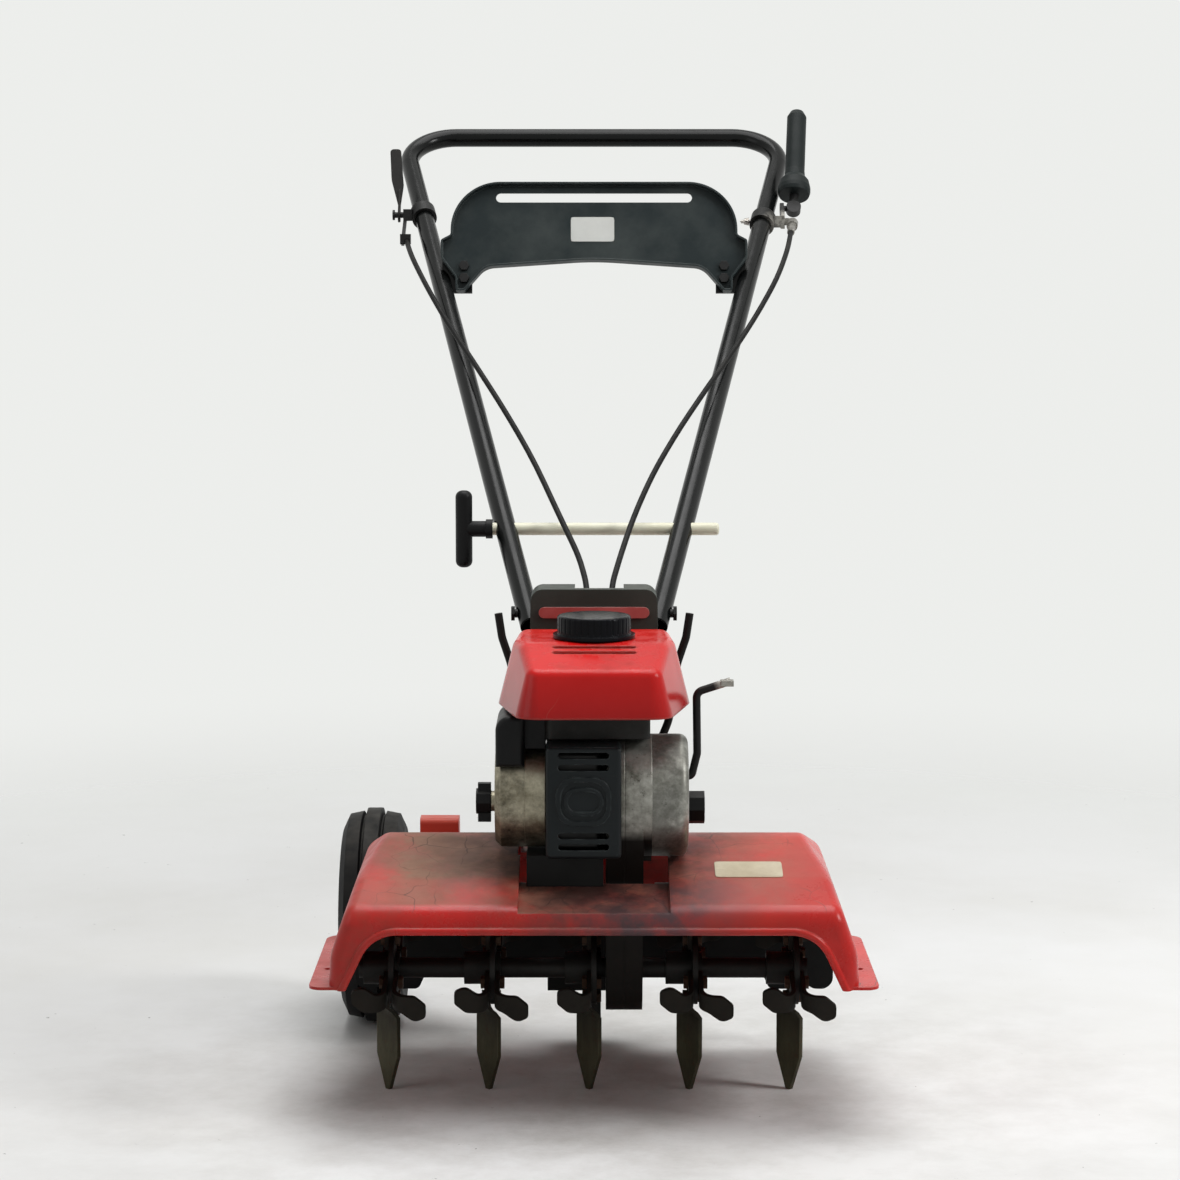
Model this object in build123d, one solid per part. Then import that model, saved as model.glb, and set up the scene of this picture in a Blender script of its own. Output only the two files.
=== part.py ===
from build123d import *
import os
from math import asin, atan2, ceil, cos, hypot, pi, radians, sin, sqrt, tan

# Garden tiller in millimetres. Each piece is made with X = 0 in the middle of the machine,
# Y = 0 on the rotor axis with +Y towards the driver, and Z = 0 on the ground.

# Fits
RUN_FIT = 0.08          # radial clearance of a shaft that turns in its bore
FREE_GAP = 0.3          # clearance between curved faces that lie against each other
PASS_GAP = 3.0          # clearance round a piece that passes through a wall

# Rotor
TINE_R = 137.0          # rotor axis to the tips of the pick blades
SHAFT_R = 11.0
STATIONS = 5
HUB_R = 18.0
HUB_LEFT = 32.0         # hub sleeve, from the flange's middle to its left end
HUB_RIGHT = 8.0
FLANGE_R = 40.0
FLANGE_T = 6.0
BLADE_T = 5.0
BLADE_W = 34.0
BLADE_ROOT = 24.0       # rotor axis to the inner end of a blade
BLADE_BOLT_CIRCLE = 32.0
TWIST_START = 41.0      # rotor axis to where a pick blade starts to twist
PICK_BENDS = [(47.0, 35.0, 24.0), (54.0, 36.0, 42.0), (98.0, 34.0, 45.0)]   # depth, width, twist in degrees
PICK_TIP = (6.0, 46.0)                 # width, twist in degrees
SLASHER_SHORT = 55.0    # tips of the pick blades to the outer face of a slasher's wing
SLASHER_SPAN = 40.0     # flange's middle to the wing's end
SLASHER_NECK = 10.0     # half widths of a slasher up to its wing, at the wing's belly and at its tip
SLASHER_BELLY = 15.5
SLASHER_TIP = 7.0
SLASHER_LEAN = 12.0     # slant of a wing along the rotor
SLASHER_ANGLE = 74.0    # from straight down towards the front
SLASHER_BEND = 12.0
BOLT_R = 4.0
BOLT_HEAD_R = 7.0
BOLT_HEAD_H = 5.0
BOLT_HOLE_GAP = 0.3

# Chain drive
CHAIN_PITCH = 12.7
ROTOR_TEETH = 16
INPUT_TEETH = 10
ROLLER_R = 3.9
ROLLER_GAP = 0.25
SPROCKET_T = 7.0
TOOTH_H = 2.8           # tooth tip above the pitch circle
CHAIN_PLATE_T = 1.5
CHAIN_PLATE_H = 10.0
CRANK_FORWARD = 50.0    # crank axis in front of the rotor axis
CRANK_OVER_DECK = 56.5  # least height of the crank axis over the deck
CASE_X = 33.0           # middle plane of the chain case
CASE_HALF = 20.0
CASE_WALL = 4.0
CASE_LOW_R = 46.0
BEARING_R = 21.0
BEARING_W = 11.0

# Engine
DRUM_R = 66.0
DRUM_SEAM = 62.0
DRUM_END = 101.0
DRUM_WALL = 4.0
DRUM_ROUND = 9.0
CRANKCASE_LEFT = -52.0
CRANKCASE_FRONT = -88.0
CRANKCASE_REAR = 30.0
CRANKCASE_RISE = 52.0   # crank axis to the cylinder's seat
CRANKCASE_WALL = 6.0
CRANK_R = 10.0
CRANK_THROW = 16.0
WEB_R = 27.0
BLOWER_R = 56.0
BLOWER_SEAM = -74.0
BLOWER_END = -106.0
BLOWER_WALL = 3.0
FLYWHEEL_R = 50.0
FLYWHEEL_T = 13.0
FAN_BLADES = 14
FIN_COUNT = 7
FIN_T = 2.2
FIN_PITCH = 6.2
HEAD_H = 14.0
SHROUD_GAP = 4.0        # hood's lower edge to the shroud and the baffle
BAFFLE_GAP = 2.0        # top of the drum to the baffle's underside
BAFFLE_RIGHT = 60.0
BAFFLE_FRONT = -95.0
CLUTCH_R = 44.0
CLUTCH_WALL = 3.5
GUARD_FRONT = -130.0
GUARD_LEFT = -51.0
GUARD_RIGHT = 29.0
GUARD_BELOW = 55.0      # crank axis to the guard's lower edge
GUARD_ABOVE = 65.0
GUARD_SHEET = 2.5
GUARD_SLOT_W = 54.0
GUARD_SLOT_H = 6.5
GUARD_BOSS = (58.0, 52.0)   # raised frame on the guard's face, width and height
GUARD_BOSS_RISE = 7.0       # crank axis to the frame's middle
GUARD_BOSS_T = 2.5
GUARD_DISH = (42.0, 30.0)
MUFFLER_GAP = 7.0

# Frame under the engine
DECK_GAP = 5.0          # tine tips to the underside of the deck
DECK_T = 4.0
DECK_HALF = 72.0
DECK_FRONT = -99.0
DECK_REAR = 145.0
HITCH_LOW = 112.0
SOCKET_HALF = 54.0
SOCKET_LOW = 67.0
SOCKET_HIGH = 128.0
SOCKET_DEPTH = 34.0
STAKE_W = 16.0
STAKE_D = 22.0
STAKE_TOP = 262.0
STAKE_POINT = 26.0
CROSS_TUBE_R = 15.0
CROSS_TUBE_BACK = 26.0  # hitch plate to the cross tube
CROSS_TUBE_Z = 214.0
CROSS_TUBE_OUT = 8.0    # wheel arm to the cross tube's end

# Fender
CROWN_GAP = 6.5         # tine tips to the inside of the crown
FENDER_SHEET = 2.5
FENDER_END_GAP = 35.0   # tine tips to the fender's front and rear
FENDER_EDGE_R = 14.0
TINE_SIDE_GAP = 15.5    # outermost wing to the foot of the fender's side, which leans in above
CROWN_FRONT = 10.0      # flat stretch of the crown, from the rotor axis
CROWN_REAR = 35.0
SKIRT_H = 129.0         # crown to the ears
EAR_HALF = 300.0        # middle to the ear's outer edge
EAR_W = 20.0            # fender's side to the ear's outer edge
EAR_REAR = 73.0
EAR_T = 3.0
EAR_HOLE_EDGE = 15.0
EAR_HOLE_Y = -88.0
EAR_HOLE_R = 4.5
LIP_DROP = 66.0         # crown to the front lip
LIP_FOOT_IN = 15.0      # fender's side to the lip's foot
LIP_SLANT = 30.0
LIP_BEND = 45.0
BEAD_R = 4.2
BEAD_SINK = 1.0         # bead's middle behind the fender's front face
RECESS_HALF = 80.0
RECESS_DROP = 32.0      # crown to the recess's floor
RECESS_FRONT_DROP = 49.0
RECESS_RAMP_END = -92.0
SWEEP_GAP = 5.0         # tine tips to the edge of the recess's opening
FLAP_T = 4.0
FLAP_OVERLAP = 44.0     # ears to the flap's upper edge
FLAP_EDGE = 2.0         # fender's side to the flap's outer edge
FLAP_Z = 101.0
FLAP_LOBE_Z = 70.0

# Hood, tank and cap
HOOD_RISE = 97.0        # crank axis to the hood's lower edge
HOOD_H = 70.0
HOOD_TAPER = 14.0       # lean of the hood's walls in degrees
HOOD_RIDGE = 46.0       # hood's lower edge to the ridge across its front
HOOD_SLOPE_END = -61.0  # where the slope behind the ridge meets the flat crown
HOOD_EDGE_R = 11.0
LOUVRE_W = 90.0
LOUVRE_H = 7.0
LOUVRE_GAP = 8.0        # cap's base to the middle of the first louvre
LOUVRE_STEP = 14.0
HOOD_FRONT = -148.0
HOOD_WIDEST = -30.0
HOOD_REAR = 78.0
HOOD_FRONT_HALF = 79.0
HOOD_HALF = 104.0
HOOD_SHEET = 2.5
TANK_HALF = 48.0
TANK_FRONT = -50.0
TANK_REAR = 30.0
TANK_SHEET = 2.0
CAP_Y = -20.0
CAP_R = 40.0
CAP_BASE_R = 44.5
CAP_H = 24.0
NECK_R = 26.0

# Column and handlebar
TUBE_R = 12.7
TUBE_WALL = 2.0
LEG_FOOT = (76.0, 182.0, 509.0)        # pivot of the right leg
HANDLE_REACH = 1100.0                  # Y and Z of the top bar
HANDLE_H = 1081.0
HANDLE_BEND = 64.0
LEG_BELOW_PIVOT = 24.0
PIVOT_R = 5.0
PIVOT_GAP = 2.5         # leg, where it is upright, to the pivot bolt's head
EAR_PLATE = 4.7
MAST_HALF = 30.0
MAST_FRONT = 98.0
MAST_REAR = 138.0
MAST_WALL = 3.0
COVER_HALF = 71.0
COVER_FRONT = 92.0
COVER_REAR = 146.0
COVER_BELOW = 77.0      # pivot to the cover's lower edge
COVER_ABOVE = 38.0
COVER_SHEET = 2.5
STRIP_RISE = 12.0
STRIP_H = 12.5
STRIP_HALF = 62.0
GUARD_BAR_R = 4.5
GUARD_BAR_Y = 84.5
GUARD_BAR_BENDS = [(107.0, 12.0), (103.0, -15.0), (93.0, -45.0), (84.0, -109.0)]   # X, and Z from the pivot
GUARD_BAR_FOOT = 40.0

# Console, levers and cables
PANEL_AT = 0.6427       # place of the panel's lower edge along the leg, from the pivot up
PANEL_DROP = 10.62      # leg's middle line down to the panel's lower edge
PANEL_LEAN = 17.0
PANEL_H = 150.0
PANEL_FOOT_HALF = 184.0
PANEL_FLARE = 7.0
PANEL_WING = 20.0       # panel's foot to the wing that covers the leg
PANEL_SIDE_GAP = 5.6    # panel's foot to the leg
PANEL_CORNER = 66.0
PANEL_SHEET = 2.5
PANEL_RIM = 13.0
PANEL_SLOT_HALF = 131.0
PANEL_SLOT_H = 13.0
PANEL_SLOT_V = 131.0
PANEL_BOLT_INSET = 11.0
PANEL_BOLT_V = (19.0, 36.0)
TAB_T = 4.0
CLAMP_R = 17.0
CLAMP_L = 20.0
THROTTLE_AT = 0.806     # place of the lever's clamp along the leg, from the pivot up
THROTTLE_OUT = 31.6     # leg's middle to the lever
CLUTCH_AT = 0.790
CLUTCH_OUT = 43.8
GRIP_R = 13.5
BELL_R = 22.5
TIE_AT = 0.148
TIE_R = 7.5
TIE_RIGHT = 149.0
T_BAR_X = -155.0
T_BAR_R = 10.0
T_BAR_H = 92.0
CABLE_R = 3.4
# Cable routes: X as a share of the leg's X, place along the leg's run, and height over the leg
THROTTLE_ROUTE = [(-1.1508, 0.7364, 3.8), (-1.1811, 0.6645, 25.9), (-1.1587, 0.5882, 33.5),
                  (-1.0924, 0.5076, 34.6), (-0.9671, 0.4183, 34.7), (-0.8012, 0.3246, 33.3),
                  (-0.614, 0.2266, 33.4), (-0.4148, 0.1285, 30.5), (-0.2031, 0.0392, 38.6),
                  (-0.1129, -0.0261, 49.0), (-0.1271, -0.0664, 41.0), (-0.1284, -0.0697, -1.1)]
CLUTCH_ROUTE = [(1.2194, 0.7233, 23.3), (1.2567, 0.6580, 37.7), (1.2579, 0.5882, 41.5),
                (1.196, 0.5153, 38.3), (1.0889, 0.4357, 35.8), (0.9438, 0.3573, 34.6),
                (0.7824, 0.2767, 34.7), (0.6112, 0.1961, 33.8), (0.4661, 0.1155, 34.0),
                (0.3593, 0.0381, 39.2), (0.2822, -0.0261, 49.0), (0.3178, -0.0664, 41.0),
                (0.321, -0.0697, -1.1)]

# Transport wheel
WHEEL_R = 128.0
WHEEL_W = 73.0
WHEEL_GAP = 6.0         # rear flap to the tyre
AXLE_R = 8.0
RIM_R = 82.0
HUB_WHEEL_R = 20.0
ARM_GAP = 25.0          # wheel to the arm
ARM_W = 45.0
ARM_SHEET = 4.0
ARM_TOP = 268.0

# Side lever and caps
LEVER_R = 4.3
LEVER_Y = -30.0
LEVER_RISE = 17.0       # crank axis up to the lever's pivot
OIL_CAP_Y = -22.0
OIL_CAP_DROP = 19.0
OIL_CAP_R = 18.0
OIL_NECK_R = 9.0
SWITCH_R = 14.0
SWITCH_DROP = 7.0

# Places that follow from the sizes above
ROTOR_Z = TINE_R
ROTOR_PITCH_R = CHAIN_PITCH / (2 * sin(pi / ROTOR_TEETH))
INPUT_PITCH_R = CHAIN_PITCH / (2 * sin(pi / INPUT_TEETH))
DECK_UNDER = ROTOR_Z + TINE_R + DECK_GAP
DECK_TOP = DECK_UNDER + DECK_T
TOOTH_TERM = ((ROTOR_TEETH - INPUT_TEETH) / (2 * pi)) ** 2
LEAST_CENTRES = hypot(CRANK_FORWARD, DECK_TOP + CRANK_OVER_DECK - ROTOR_Z) / CHAIN_PITCH
LEAST_LINKS = 2 * LEAST_CENTRES + (ROTOR_TEETH + INPUT_TEETH) / 2 + TOOTH_TERM / LEAST_CENTRES
CHAIN_LINKS = 2 * ceil(LEAST_LINKS / 2)
FREE_LINKS = CHAIN_LINKS - (ROTOR_TEETH + INPUT_TEETH) / 2
CHAIN_CENTRES = CHAIN_PITCH * (FREE_LINKS + sqrt(FREE_LINKS ** 2 - 8 * TOOTH_TERM)) / 4
CRANK_Y = -CRANK_FORWARD
CRANK_Z = ROTOR_Z + sqrt(CHAIN_CENTRES ** 2 - CRANK_FORWARD ** 2)
ROTOR_AXIS = (0.0, ROTOR_Z)
CRANK_AXIS = (CRANK_Y, CRANK_Z)
SWEEP_R = TINE_R + SWEEP_GAP
SLASHER_REACH = TINE_R - SLASHER_SHORT
CROWN_Z = ROTOR_Z + TINE_R + CROWN_GAP + FENDER_SHEET
FENDER_FRONT = -TINE_R - FENDER_END_GAP
FENDER_REAR = TINE_R + FENDER_END_GAP
FENDER_SIDE = EAR_HALF - EAR_W
STATION_PITCH = (FENDER_SIDE - FENDER_SHEET - TINE_SIDE_GAP - SLASHER_SPAN) * 2 / (STATIONS - 1)
EAR_Z = CROWN_Z - SKIRT_H
EAR_HOLE_X = EAR_HALF - EAR_HOLE_EDGE
LIP_Z = CROWN_Z - LIP_DROP
LIP_FOOT_X = FENDER_SIDE - LIP_FOOT_IN
LIP_CORNER_X = LIP_FOOT_X - LIP_SLANT
RECESS_Z = CROWN_Z - RECESS_DROP
RECESS_FRONT_Z = CROWN_Z - RECESS_FRONT_DROP
FLAP_TOP = EAR_Z + FLAP_OVERLAP
CASE_LEFT = CASE_X - CASE_HALF
CASE_RIGHT = CASE_X + CASE_HALF
SEAT_Z = CRANK_Z + CRANKCASE_RISE
LEVER_Z = CRANK_Z + LEVER_RISE
OIL_CAP_Z = CRANK_Z - OIL_CAP_DROP
FIN_TOP = SEAT_Z + 4 + FIN_COUNT * FIN_PITCH
HEAD_TOP = FIN_TOP + HEAD_H
HOOD_Z = CRANK_Z + HOOD_RISE
HOOD_TOP = HOOD_Z + HOOD_H
WHEEL_OUT = -EAR_HALF
WHEEL_IN = WHEEL_OUT + WHEEL_W
WHEEL_X = WHEEL_OUT + WHEEL_W / 2
ARM_LEFT = WHEEL_IN + ARM_GAP
ARM_RIGHT = ARM_LEFT + ARM_W
CROSS_TUBE_END = ARM_LEFT - CROSS_TUBE_OUT
HITCH_FACE = FENDER_REAR + FLAP_T
HITCH_BACK = HITCH_FACE + DECK_T
AXLE_Y = HITCH_FACE + WHEEL_GAP + WHEEL_R
CROSS_TUBE_Y = HITCH_BACK + CROSS_TUBE_BACK
SOCKET_BACK = HITCH_BACK + SOCKET_DEPTH
STAKE_Y = HITCH_BACK + SOCKET_DEPTH / 2
LEG_AT_PANEL = PANEL_FOOT_HALF + PANEL_SIDE_GAP + TUBE_R
LEG_CORNER = (LEG_FOOT[0] + (LEG_AT_PANEL - LEG_FOOT[0]) / PANEL_AT, HANDLE_REACH, HANDLE_H)
PANEL_HALF = PANEL_FOOT_HALF + PANEL_FLARE
LEG_RUN = Vector(*LEG_CORNER) - Vector(*LEG_FOOT)
PANEL_Y = LEG_FOOT[1] + PANEL_AT * LEG_RUN.Y
PANEL_Z = LEG_FOOT[2] + PANEL_AT * LEG_RUN.Z - PANEL_DROP
THROTTLE_X = -LEG_FOOT[0] - THROTTLE_AT * LEG_RUN.X - THROTTLE_OUT
CLUTCH_X = LEG_FOOT[0] + CLUTCH_AT * LEG_RUN.X + CLUTCH_OUT
LEG_DIR = LEG_RUN.normalized()
COVER_LOW = LEG_FOOT[2] - COVER_BELOW
COVER_TOP = LEG_FOOT[2] + COVER_ABOVE
STRIP_Z = LEG_FOOT[2] + STRIP_RISE
MIDDLE_Y = (FENDER_FRONT + BEAD_SINK - BEAD_R + LEG_CORNER[1] + TUBE_R) / 2
nodes = {}


# Basic shapes
def block(x0, x1, y0, y1, z0, z1):
    return Pos((x0 + x1) / 2, (y0 + y1) / 2, (z0 + z1) / 2) * Box(x1 - x0, y1 - y0, z1 - z0)


def bar_x(r, x0, x1, y, z):
    return Pos((x0 + x1) / 2, y, z) * Rot(0, 90, 0) * Cylinder(r, x1 - x0)


def bar_y(r, y0, y1, x, z):
    return Pos(x, (y0 + y1) / 2, z) * Rot(90, 0, 0) * Cylinder(r, y1 - y0)


def bar_z(r, z0, z1, x, y):
    return Pos(x, y, (z0 + z1) / 2) * Cylinder(r, z1 - z0)


def rounded_face(corners):
    """Flat outline through (a, b, corner radius) points."""
    face = make_face(Polyline(*[(a, b) for a, b, r in corners], close=True))
    for a, b, r in corners:
        if r > 0:
            face = fillet(face.vertices().sort_by_distance((a, b, 0))[0], r)
    return face


def along_x(face, x0, x1):
    """Solid from an outline drawn in Y and Z."""
    return Pos(x0, 0, 0) * (Plane.YZ * extrude(face, amount=x1 - x0))


def along_y(face, y0, y1):
    """Solid from an outline drawn in X and Z."""
    return Pos(0, y1, 0) * Rot(90, 0, 0) * extrude(face, amount=y1 - y0)


def along_z(face, z0, z1):
    """Solid from an outline drawn in X and Y."""
    return Pos(0, 0, z0) * extrude(face, amount=z1 - z0)


def bent_rod(points, bends, r):
    path = FilletPolyline(*points, radius=bends)
    return sweep(Plane(origin=path @ 0, z_dir=path % 0) * Circle(r), path=path)


def both_sides(shape):
    return shape + mirror(shape, Plane.YZ)


def group(shapes):
    return Compound(children=[s for shape in shapes for s in shape.solids()])


def belt(low_r, high_r):
    """Outline round the rotor axis and the crank axis, with straight sides."""
    (y0, z0), (y1, z1) = ROTOR_AXIS, CRANK_AXIS
    span = hypot(y1 - y0, z1 - z0)
    heading = atan2(z1 - z0, y1 - y0)
    lean = asin((low_r - high_r) / span)
    left = heading + pi / 2 - lean
    right = heading - pi / 2 + lean
    corners = [(y0 + low_r * cos(left), z0 + low_r * sin(left)),
               (y1 + high_r * cos(left), z1 + high_r * sin(left)),
               (y1 + high_r * cos(right), z1 + high_r * sin(right)),
               (y0 + low_r * cos(right), z0 + low_r * sin(right))]
    ends = Pos(y0, z0) * Circle(low_r) + Pos(y1, z1) * Circle(high_r)
    return make_face(Polyline(*corners, close=True)) + ends


def hex_bolt(length):
    """Bolt along X: head on the left of X = 0, shank to the right."""
    head = Pos(-BOLT_HEAD_H / 2, 0, 0) * Rot(0, 90, 0) * extrude(
        RegularPolygon(BOLT_HEAD_R, 6), amount=BOLT_HEAD_H / 2, both=True)
    return head + bar_x(BOLT_R, 0, length, 0, 0)


# Rotor
def blade_hole():
    hole_x = FLANGE_T + BLADE_T
    return bar_x(BOLT_R + BOLT_HOLE_GAP, -hole_x, hole_x, 0, -BLADE_BOLT_CIRCLE)


def pick_blade():
    """Blade that hangs from the flange's left face and twists towards its tip."""
    left = -FLANGE_T / 2 - BLADE_T
    middle = left + BLADE_T / 2
    root = block(left, left + BLADE_T, -BLADE_W / 2, BLADE_W / 2, -TWIST_START, -BLADE_ROOT)
    tip_width, tip_turn = PICK_TIP
    sections = [Pos(middle, 0, -TWIST_START) * Rectangle(BLADE_T, BLADE_W)]
    sections += [Pos(middle, 0, -depth) * Rot(0, 0, turn) * Rectangle(BLADE_T, width)
                 for depth, width, turn in PICK_BENDS]
    sections += [Pos(middle, 0, -TINE_R) * Rot(0, 0, tip_turn) * Rectangle(BLADE_T, tip_width)]
    return root + loft(sections, ruled=True) - blade_hole()


def slasher_blade(lean):
    """Blade on the flange's right face whose end is bent into a leaf-shaped, slanting wing."""
    near = FLANGE_T / 2
    far = near + BLADE_T
    wing = SLASHER_REACH - BLADE_T
    strip = along_y(rounded_face([
        (near, -BLADE_ROOT, 0), (far, -BLADE_ROOT, 0), (far, -wing, SLASHER_BEND),
        (SLASHER_SPAN, -wing, 0), (SLASHER_SPAN, -SLASHER_REACH, 0),
        (near, -SLASHER_REACH, SLASHER_BEND + BLADE_T)]), -BLADE_W, BLADE_W)
    neck_x = far + BLADE_T
    belly_x = 0.7 * SLASHER_SPAN
    slant = tan(radians(lean))
    low = [(0, -SLASHER_NECK, 0), (neck_x, -SLASHER_NECK, 12),
           (belly_x, belly_x * slant - SLASHER_BELLY, 10),
           (SLASHER_SPAN, SLASHER_SPAN * slant - SLASHER_TIP, 6)]
    high = [(SLASHER_SPAN, SLASHER_SPAN * slant + SLASHER_TIP, 6),
            (belly_x, belly_x * slant + SLASHER_BELLY, 10), (neck_x, SLASHER_NECK, 12), (0, SLASHER_NECK, 0)]
    leaf = rounded_face(low + high)
    return (strip & along_z(leaf, -TINE_R, 0)) - blade_hole()


def make_rotor():
    first = -(STATIONS - 1) / 2
    stations = [(first + i) * STATION_PITCH for i in range(STATIONS)]
    shaft_left = stations[0] - HUB_LEFT - BLADE_T
    shaft_right = stations[-1] + HUB_RIGHT + BLADE_T
    nodes["tine_shaft"] = bar_x(SHAFT_R, shaft_left, shaft_right, 0, ROTOR_Z)
    pick = pick_blade()
    right = slasher_blade(SLASHER_LEAN)
    left = mirror(slasher_blade(-SLASHER_LEAN), Plane.YZ)
    angles = (0, SLASHER_ANGLE, 180, 180 + SLASHER_ANGLE)
    bores = Sketch() + [Rot(0, 0, -a) * Pos(0, -BLADE_BOLT_CIRCLE) * Circle(BOLT_R + BOLT_HOLE_GAP)
                        for a in angles]
    flange = Circle(FLANGE_R) - Circle(SHAFT_R + RUN_FIT) - bores
    sleeve = Circle(HUB_R) - Circle(SHAFT_R + RUN_FIT)
    hub = along_x(sleeve, -HUB_LEFT, HUB_RIGHT) + along_x(flange, -FLANGE_T / 2, FLANGE_T / 2)
    nodes["tine_hubs"] = group([Pos(x, 0, ROTOR_Z) * hub for x in stations])
    stack = FLANGE_T / 2 + BLADE_T
    nut = extrude(RegularPolygon(BOLT_HEAD_R, 6) - Circle(BOLT_R), amount=BOLT_HEAD_H)
    nut = Pos(0, 0, -BLADE_BOLT_CIRCLE) * Rot(0, 90, 0) * nut
    bolts = []
    for i, x in enumerate(stations):
        at = Pos(x, 0, ROTOR_Z)
        case_side = x < CASE_X < x + STATION_PITCH
        blades = []
        for a in angles:
            turn = at * Rot(-a, 0, 0)
            is_pick = a % 180 == 0
            right_face = FLANGE_T / 2 if is_pick or case_side else stack
            bolt = Pos(-stack, 0, -BLADE_BOLT_CIRCLE) * hex_bolt(stack + right_face + BOLT_HEAD_H)
            bolts += [turn * (bolt + Pos(right_face, 0, 0) * nut)]
            blades += [turn * pick] if is_pick else [turn * left]
            if not is_pick and not case_side:
                blades += [turn * right]
        nodes[f"tine_blades_{i + 1}"] = group(blades)
    nodes["tine_bolts"] = group(bolts)


# Chain drive
def chain_pins():
    """Places of the pins on the chain's two straight runs, clear of the teeth of both sprockets."""
    (y0, z0), (y1, z1) = ROTOR_AXIS, CRANK_AXIS
    heading = atan2(z1 - z0, y1 - y0)
    lean = asin((ROTOR_PITCH_R - INPUT_PITCH_R) / CHAIN_CENTRES)
    run = sqrt(CHAIN_CENTRES ** 2 - (ROTOR_PITCH_R - INPUT_PITCH_R) ** 2)
    clear = TOOTH_H + ROLLER_R + ROLLER_GAP
    pins = []
    for side in (heading + pi / 2 - lean, heading - pi / 2 + lean):
        foot = Vector(y0 + ROTOR_PITCH_R * cos(side), z0 + ROTOR_PITCH_R * sin(side))
        top = Vector(y1 + INPUT_PITCH_R * cos(side), z1 + INPUT_PITCH_R * sin(side))
        for i in range(int(run / CHAIN_PITCH)):
            pin = foot + (top - foot).normalized() * i * CHAIN_PITCH
            low_gap = hypot(pin.X - y0, pin.Y - z0) - ROTOR_PITCH_R
            high_gap = hypot(pin.X - y1, pin.Y - z1) - INPUT_PITCH_R
            if min(low_gap, high_gap) > clear:
                pins.append((pin.X, pin.Y))
    return pins


def sprocket(teeth, pitch_r, bore):
    """Toothed disc with a round gap for each roller."""
    gaps = Sketch() + [Rot(0, 0, 360 * i / teeth) * Pos(pitch_r, 0) * Circle(ROLLER_R + ROLLER_GAP)
                       for i in range(teeth)]
    face = Circle(pitch_r + TOOTH_H) - gaps - Circle(bore)
    return along_x(face, CASE_X - SPROCKET_T / 2, CASE_X + SPROCKET_T / 2)


def make_chain_drive():
    bore = SHAFT_R + RUN_FIT
    wheel = sprocket(ROTOR_TEETH, ROTOR_PITCH_R, bore)
    hub = along_x(Circle(HUB_R) - Circle(bore), CASE_X - SPROCKET_T, CASE_X + SPROCKET_T)
    nodes["rotor_sprocket"] = Pos(0, 0, ROTOR_Z) * (wheel + hub)

    sleeve_bore = CRANK_R + RUN_FIT
    sleeve_r = CRANK_R + 3
    drum_left = DRUM_SEAM + DRUM_WALL
    drum_right = DRUM_END - 2 * DRUM_WALL
    pinion = sprocket(INPUT_TEETH, INPUT_PITCH_R, sleeve_bore)
    sleeve = along_x(Circle(sleeve_r) - Circle(sleeve_bore), CASE_LEFT + 2 * CASE_WALL, drum_left)
    plate = along_x(Circle(CLUTCH_R) - Circle(sleeve_bore), drum_left, drum_left + CLUTCH_WALL)
    drum = along_x(Circle(CLUTCH_R) - Circle(CLUTCH_R - CLUTCH_WALL), drum_left, drum_right)
    nodes["clutch_drum"] = Pos(0, CRANK_Y, CRANK_Z) * (pinion + sleeve + plate + drum)
    shoe_r = CLUTCH_R - CLUTCH_WALL - 2 * FREE_GAP
    shoe = Circle(shoe_r) - Circle(CRANK_R + RUN_FIT) - Rectangle(2 * shoe_r, DRUM_WALL)
    boss = Circle(CRANK_R + DRUM_WALL * 2) - Circle(CRANK_R + RUN_FIT)
    nodes["clutch_shoes"] = Pos(0, CRANK_Y, CRANK_Z) * along_x(
        shoe + boss, drum_left + 2 * CLUTCH_WALL, drum_right - CLUTCH_WALL)

    half_plate = CHAIN_PLATE_H / 2
    band = belt(ROTOR_PITCH_R + half_plate, INPUT_PITCH_R + half_plate)
    band -= belt(ROTOR_PITCH_R - half_plate, INPUT_PITCH_R - half_plate)
    inner = SPROCKET_T / 2 + FREE_GAP
    chain = along_x(band, CASE_X + inner, CASE_X + inner + CHAIN_PLATE_T)
    chain += along_x(band, CASE_X - inner - CHAIN_PLATE_T, CASE_X - inner)
    chain += [bar_x(ROLLER_R, CASE_X - inner, CASE_X + inner, y, z) for y, z in chain_pins()]
    nodes["drive_chain"] = chain


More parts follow.
